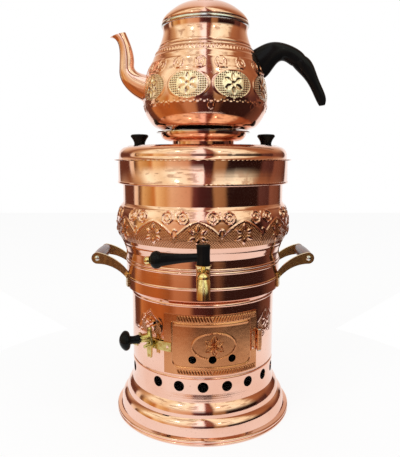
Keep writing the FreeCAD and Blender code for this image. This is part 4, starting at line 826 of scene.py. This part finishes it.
# %% Firebox chasing
SIDE_FLOWERS = ((-43.0, 122.0, 8.0), (57.0, 122.0, 8.5), (-57.0, 112.0, 6.0))
SIDE_VOLUTES = ((-36.5, 117.0), (-50.0, 126.0), (52.0, 108.0), (62.0, 110.0))
SIDE_VOLUTE = 4.5
GABLES = (-43.0, 57.0)
GABLE_TOP = 138
GABLE_SLOPE = 0.9
GABLE_HALF = 16
GABLE_FOOT = 100
FLOWER_HEIGHT = 122
FLOWER_ROOM = 9


def firebox_chasing(azimuth, height, radius):
    """Flowers and volutes at the sides of the door, and gables matted with dots."""
    push = 0.0
    hatch = 0.0
    for middle, level, size in SIDE_FLOWERS:
        u = beside(azimuth, middle, radius)
        push += 0.8 * petals(u, height - level, count=6, reach=size, width=0.42 * size)
    for middle, level in SIDE_VOLUTES:
        push += 0.5 * scroll(beside(azimuth, middle, radius), height - level, SIDE_VOLUTE)
    for middle in GABLES:
        u = beside(azimuth, middle, radius)
        gable = GABLE_TOP - GABLE_SLOPE * abs(u)
        if abs(u) < GABLE_HALF and height > GABLE_FOOT:
            push += 0.5 * ridge(height - gable, 2.2)
            if height < gable - 3 and math.hypot(u, height - FLOWER_HEIGHT) > FLOWER_ROOM:
                hatch = step_up(height, 110, 114)
    return push, hatch


print(len(SIDE_FLOWERS), "flowers beside the door")

# %% Firebox wall
GROOVE_FOOT = 65.9
GROOVE_TOP = 69.1
GROOVE_BOTTOM = 83.9
CHASED_FROM = 100.0
CHASED_TO = 142.0
LIP_FOOT = (FIREBOX_RADIUS, 146.5)
LIP = (86.2, 148.0)
LIP_TOP = (85.8, 149.5)
FLARE = (88.4, 152.76)
FLARE_TOP = (90.9, 155.0)
firebox_outer = (
    fine_run([(FIREBOX_RADIUS, FOOT_TOP), (FIREBOX_RADIUS, GROOVE_FOOT)], 4)
    + arc((FIREBOX_RADIUS, GROOVE_FOOT), (GROOVE_BOTTOM, GROOVE), (FIREBOX_RADIUS, GROOVE_TOP), 8)[1:]
    + fine_run([(FIREBOX_RADIUS, GROOVE_TOP), (FIREBOX_RADIUS, CHASED_FROM)], 6)[1:]
    + fine_run([(FIREBOX_RADIUS, CHASED_FROM), (FIREBOX_RADIUS, CHASED_TO)], 1.2)[1:]
    + arc(LIP_FOOT, LIP, LIP_TOP) + arc(LIP_TOP, FLARE, FLARE_TOP)[1:])
firebox = turned(firebox_outer, inside(firebox_outer, WALL, 4), steps=480, relief=firebox_chasing)
print("firebox spun with", len(firebox_outer), "rings")

# %% [markdown]
# ## Holes
# A punch knocks the vents and the door's opening out of the finished wall. In Blender that is a
# Boolean: round bars stand through the wall at the vents, a thick sector stands in the opening,
# and both are taken away. There is no vent where the drum's seam runs.

# %% Cutting
CUTTER_LENGTH = 20


def cutter_rods(places, radius, reach):
    """Round bars that point outwards from the axis, at (azimuth, height)."""
    shape = bmesh.new()
    for azimuth, height in places:
        bmesh.ops.create_cone(
            shape, cap_ends=True, segments=32, radius1=radius * MM, radius2=radius * MM,
            depth=CUTTER_LENGTH * MM, matrix=Matrix.Rotation(math.radians(azimuth), 4, "Z")
            @ Matrix.Translation((0, -reach * MM, height * MM)) @ Matrix.Rotation(math.pi / 2, 4, "X"))
    return shape


def cut_with(shape, cutter):
    """Cuts one closed shape out of another and returns the result."""
    objects = []
    for part in (shape, cutter):
        bmesh.ops.recalc_face_normals(part, faces=part.faces)
        mesh = bpy.data.meshes.new("blank")
        part.to_mesh(mesh)
        part.free()
        blank = bpy.data.objects.new("blank", mesh)
        scene.collection.objects.link(blank)
        objects.append(blank)
    boolean = objects[0].modifiers.new("cut", "BOOLEAN")
    boolean.operation = "DIFFERENCE"
    boolean.solver = "EXACT"
    boolean.object = objects[1]
    graph = bpy.context.evaluated_depsgraph_get()
    result = bmesh.new()
    result.from_object(objects[0], graph)
    for blank in objects:
        bpy.data.objects.remove(blank)
    return result


print("cutters ready")

# %% Firebox holes
VENT_RADIUS = 6.0
VENT_HEIGHT = 57.3
VENT_PITCH = 18
SEAM_AZIMUTH = -54
GAP_SWEEP = (-20.9, 34.5)
GAP_FOOT = 83.0
GAP_TOP = 126.0
GAP_INSIDE = 80.0
GAP_OUTSIDE = 90.0

vents = [(azimuth, VENT_HEIGHT) for azimuth in range(-180, 180, VENT_PITCH)
         if azimuth != SEAM_AZIMUTH]
firebox = cut_with(firebox, cutter_rods(vents, VENT_RADIUS, FIREBOX_RADIUS))
gap_corners = [(GAP_INSIDE, GAP_FOOT), (GAP_OUTSIDE, GAP_FOOT), (GAP_OUTSIDE, GAP_TOP),
               (GAP_INSIDE, GAP_TOP)]
door_gap = turned(gap_corners, [], steps=60, sweep=GAP_SWEEP)
firebox = cut_with(firebox, door_gap)
piece_from("firebox_drum", firebox, fire_copper, ["firebox_shell"])
print("firebox has", len(vents), "vents")

# %% [markdown]
# ## Tank
# The tank's wall swells into a belt of flowers between a plain neck above and three raised beads
# below. Thirteen flowers of six petals stand in pointed arches, with volutes between the arches and
# fine punched dots as a ground. A belt this rich must be real relief, because its petals bend the
# room's reflections into bright and dark dashes.

# %% Belt of flowers
BELT_FLOWERS = 13
BELT_FIRST = -3.1
BELT_MIDDLE = 226.5
BELT_FOOT = 203
BELT_TOP = 254
ARCH_TOP = 13.5
ARCH_SLOPE = 0.25
ARCH_BEND = 0.017
GROUND_FOOT = -14
VOLUTE_ASIDE = 15.5
VOLUTE_RISE = 16.8
VOLUTE_SIZE = 5.6
SMALL_FLOWER_RISE = 18
UPPER_LINE = 23.5
LOWER_LINE = -19.5


def belt_chasing(azimuth, height, radius):
    """Flowers under arches, volutes and small flowers above, leaves between, dots below."""
    if not BELT_FOOT < height < BELT_TOP:
        return 0.0, 0.0
    u = repeat(azimuth, BELT_FLOWERS, BELT_FIRST, radius)
    v = height - BELT_MIDDLE
    span = math.pi * radius / BELT_FLOWERS
    aside = abs(u)
    bloom = petals(u, v, count=6, reach=11.8, width=5.0, first=30, root=0.3, boss=-0.5)
    push = 1.6 * bloom
    arch = ARCH_TOP - ARCH_SLOPE * aside - ARCH_BEND * aside * aside
    push += 0.7 * ridge(v - arch, 2.4)
    push += scroll(aside - VOLUTE_ASIDE, v - VOLUTE_RISE, VOLUTE_SIZE)
    push += 0.9 * petals(aside - span, v - SMALL_FLOWER_RISE, count=5, reach=5.0, width=4.0)
    push += 0.5 * ridge(v - UPPER_LINE, 2.0)
    push -= 0.35 * ridge(v - LOWER_LINE, 3.0)
    leaf = (aside - span) ** 2 / 12 + (v + 2) ** 2 / 55
    push += 0.7 * ridge(leaf - 1, 0.6)
    ground = bloom < 0.15 and GROUND_FOOT < v < arch - 1.2
    return push, 1.0 if ground else 0.0


print(BELT_FLOWERS, "flowers round the belt")

# %% Tank wall
DRUM_RADIUS = 91.5
BEAD_RADIUS = 92.3
BEAD_HALF = 1.5
TANK_FOOT = 155
BEADS = (167.7, 184.4, 188.1)
NECK_RADIUS = 94
TANK_TOP = 299.8
belt_line = [(DRUM_RADIUS, 198), (93.95, 204.16), (97.42, 212), (100.78, 219.28), (101.7, 227.68),
             (100.31, 240), (97.85, 247.28), (NECK_RADIUS, BELT_TOP)]


def bead(height):
    """A small raised ring round the drum."""
    return arc((DRUM_RADIUS, height - BEAD_HALF), (BEAD_RADIUS, height),
               (DRUM_RADIUS, height + BEAD_HALF), 6)


def plain_wall(radius, low, high, step):
    """A straight upright stretch of wall."""
    return fine_run([(radius, low), (radius, high)], step)


tank_outer = (
    plain_wall(DRUM_RADIUS, TANK_FOOT, 165.6, 3) + bead(BEADS[0])
    + plain_wall(DRUM_RADIUS, 169.8, 182.3, 4) + bead(BEADS[1]) + bead(BEADS[2])
    + plain_wall(DRUM_RADIUS, 190.2, 197.4, 3) + smooth_run(belt_line, 0.85)
    + plain_wall(NECK_RADIUS, 254.6, TANK_TOP, 5))
tank = turned(tank_outer, inside(tank_outer, WALL, 8), steps=620, relief=belt_chasing)
piece_from("tank_wall", tank, chased_copper, ["tank_shell"])
print("tank spun with", len(tank_outer), "rings and", BELT_FLOWERS, "flowers")

# %% [markdown]
# ## Teapot
# The pot is raised from one sheet: a round belly, a neck with turned grooves and nine fan-like
# medallions chased round the belly, each a flower on a ground of square dots. Volutes stand
# above the gaps and a zigzag runs below.

# %% Medallions
POT_FANS = 9
POT_FIRST = -15.7
POT_MIDDLE = 380.5
POT_CHASED = (355, 445)
FAN_HALF = 22
FAN_DOWN = 15
FAN_UP = 13.5
FLOWER_DISC = 12.5
POT_VOLUTE_TURN = math.radians(9.9)
POT_VOLUTE_HEIGHT = 402.3
POT_VOLUTE_SIZE = 5.4
BROW_HEIGHT = 397.5
BROW_HALF = 13
BAND_HEIGHT = 408.6
ZIGZAG_DROP = 19
ZIGZAG_RISE = 1.4
ZIGZAG_HALF = 3.6
LOOP_DROP = 22
LOOP_RADIUS = 3
NECK_GROOVES = ((415.6, 0.3), (417.8, -0.5), (420.6, 0.35), (423.4, -0.5), (425.2, 0.3),
                (427, -0.5), (429.0, 0.3))
NECK_NICKS = (418.6, 422.6)


def pot_chasing(azimuth, height, radius):
    """Fans with a cut flower on square dots, volutes above, a zigzag below, a turned neck."""
    if not POT_CHASED[0] < height < POT_CHASED[1]:
        return 0.0, 0.0
    u = repeat(azimuth, POT_FANS, POT_FIRST, radius)
    v = height - POT_MIDDLE
    span = math.pi * radius / POT_FANS
    aside = abs(u)
    fan = math.hypot(u / FAN_HALF, v / (FAN_DOWN if v < 0 else FAN_UP))
    push = 0.55 * ridge(fan - 1, 0.16)
    hatch = 0.0
    if fan < 0.95:
        inner = math.hypot(u, v * 1.1)
        push += 0.2 - petals(u, v, count=6, reach=11.5, width=5.0, first=30, root=0.25)
        hatch = 1.0 if inner > FLOWER_DISC else 0.5
    volute = aside - span + POT_VOLUTE_TURN * radius
    push += 0.7 * scroll(volute, height - POT_VOLUTE_HEIGHT, POT_VOLUTE_SIZE)
    if aside < BROW_HALF:
        push += 0.5 * ridge(height - BROW_HEIGHT + 0.006 * u * u, 2.0)
    push += 0.5 * ridge(height - BAND_HEIGHT, 1.8)
    zigzag = ZIGZAG_RISE * abs((u / ZIGZAG_HALF) % 2 - 1)
    push += 0.5 * ridge(v + ZIGZAG_DROP - zigzag, 1.5)
    push += 0.5 * ridge(math.hypot(aside - span, v + LOOP_DROP) - LOOP_RADIUS, 1.4)
    for level, depth in NECK_GROOVES:
        push += depth * ridge(height - level, 2.2)
    if NECK_NICKS[0] < height < NECK_NICKS[1]:
        push += 0.35 * max(math.sin(azimuth * 1.6), 0)
    return push, hatch


print(POT_FANS, "medallions round the pot")

# %% Teapot wall
POT_CENTRE = (2.7, 0.0)
POT_FOOT = 336
pot_line = [(50, POT_FOOT), (60.15, 340.8), (69.0, 354.24), (71.6, 368), (68.27, 393.85), (59.7, 415),
            (52.63, 429), (48.3, 442.3), (48.5, 450)]
pot_outer = [(radius, POT_FOOT) for radius in (0, 25, 46, 49)] + smooth_run(pot_line, 1.05)
pot = turned(pot_outer, inside(pot_outer, WALL, 6), steps=600, relief=pot_chasing, centre=POT_CENTRE)
piece_from("teapot_wall", pot, pot_copper, ["teapot_body"])
print("teapot spun with", len(pot_outer), "rings and", POT_FANS, "medallions")

# %% [markdown]
# ## Fire door
# The door is a pressed plate that follows the drum. Rope borders of slanting ribs run along its
# top and bottom, and the panel between them has a bright rolled edge above, rounded corners
# below, a six-petalled flower in a thin oval and three draught holes.

# %% Door chasing
DOOR_MIDDLE = 6.8
ROPES = ((71.6, 77.4), (130.8, 137.4))
ROPE_ENDS = (-39, 53)
ROPE_PITCH = 3.2
PANEL = (-45.0, 45.0, 79.5, 128.0)
PANEL_CORNER = 7.0
RIDGE_HEIGHT = 127.8
RIDGE_HALF = 43
OVAL_PLACE = (2.0, 104)
OVAL_HALF = 24.3
OVAL_RISE = 14.6


def rope_borders(u, height):
    """Slanting ribs along the top and the bottom, which lean away from the middle."""
    for low, high in ROPES:
        if low < height < high and ROPE_ENDS[0] < u < ROPE_ENDS[1]:
            lean = 0.5 * (height - low) * math.copysign(1, u)
            rib = 1.35 * abs(math.sin(math.pi * (u - lean) / ROPE_PITCH)) - 0.5
            return rib * step_up(min(height - low, high - height), 0, 1.0)
    return 0.0


def panel_frame(u, height):
    """The panel's thin edge, round at its lower corners, and the sheet sunk within it."""
    left, right, low, high = PANEL
    if not (left - 2 < u < right + 2 and low - 2 < height < high + 2):
        return 0.0
    dx = max(abs(u - (left + right) / 2) - (right - left) / 2 + PANEL_CORNER, 0)
    dy = max(low + PANEL_CORNER - height, 0)
    rim = math.hypot(dx, dy) - PANEL_CORNER
    return 0.6 * ridge(rim, 2.4) - 0.25 * step_up(-rim, 0, 1.5)


def oval_flower(u, v):
    """A flower with outlined petals in a thin oval.

    Divided by how steeply the oval's share of the way out grows, a line keeps its width all round.
    """
    share = math.hypot(u / OVAL_HALF, v / OVAL_RISE)
    steep = math.hypot(u / OVAL_HALF ** 2, v / OVAL_RISE ** 2) / max(share, 0.1)
    bloom = petals(u, v, count=6, reach=11.6, width=7.4, first=30, root=0.14)
    return (0.6 * ridge((share - 1) / max(steep, 0.01), 1.5)
            + 1.1 * ridge(bloom - 0.28, 0.56) - 0.25 * bloom)


def door_chasing(azimuth, height, radius):
    """Everything pressed into the door, nowhere higher than 0.9 mm."""
    u = beside(azimuth, DOOR_MIDDLE, radius)
    push = rope_borders(u, height) + panel_frame(u, height)
    push += 0.9 * ridge(height - RIDGE_HEIGHT, 4.2) * step_up(RIDGE_HALF - abs(u), 0, 1.5)
    push += oval_flower(u - OVAL_PLACE[0], height - OVAL_PLACE[1])
    return min(push, 0.9), 0.0


print("door has", len(ROPES), "rope borders")

# %% Door plate
DOOR_SWEEP = (-29.4, 43.2)
DOOR_RADIUS = 86.9
DOOR_FOOT = 71.0
DOOR_TOP = 138.0
DRAUGHT_HEIGHT = 89.0
DRAUGHT_PITCH = 14.5
DRAUGHT_RADIUS = 4.4

door_outer = fine_run([(DOOR_RADIUS, DOOR_FOOT), (DOOR_RADIUS, DOOR_TOP)], 0.6)
door_inner = [(DOOR_RADIUS - WALL, DOOR_TOP), (DOOR_RADIUS - WALL, DOOR_FOOT)]
door = turned(door_outer, door_inner, steps=190, relief=door_chasing, sweep=DOOR_SWEEP)
draught = [(DOOR_MIDDLE + off, DRAUGHT_HEIGHT) for off in (-DRAUGHT_PITCH, 0, DRAUGHT_PITCH)]
door = cut_with(door, cutter_rods(draught, DRAUGHT_RADIUS, DOOR_RADIUS))
piece_from("door_plate", door, door_copper, ["fire_door"])
print("door pressed, with", len(draught), "holes")

# %% [markdown]
# ## The other parts
# What is already right in shape only needs its corners merged and its finish. A few parts wear
# another finish than their slot's: the ash floor is black as painted shade, the latch is green
# brass, and the hinge is as brown as the door.

# %% Smooth copies
REMADE = {"foot", "firebox_shell", "tank_shell", "teapot_body", "fire_door"}
# The ash floor's black finish is painted shade.
WORN_AND_SHADED = {"ash_floor": shade_black_sheet, "latch_strap": latch_brass, "latch_bar": latch_brass,
        "latch_stud": latch_brass, "latch_keeper": latch_brass,
        "hinge_body_leaf": door_copper, "hinge_door_leaf": door_copper}
for node in sorted(frame["nodes"]):
    if node not in REMADE:
        smooth_copy(node, WORN_AND_SHADED.get(node))
print(len(frame["nodes"]) - len(REMADE), "parts copied smooth")
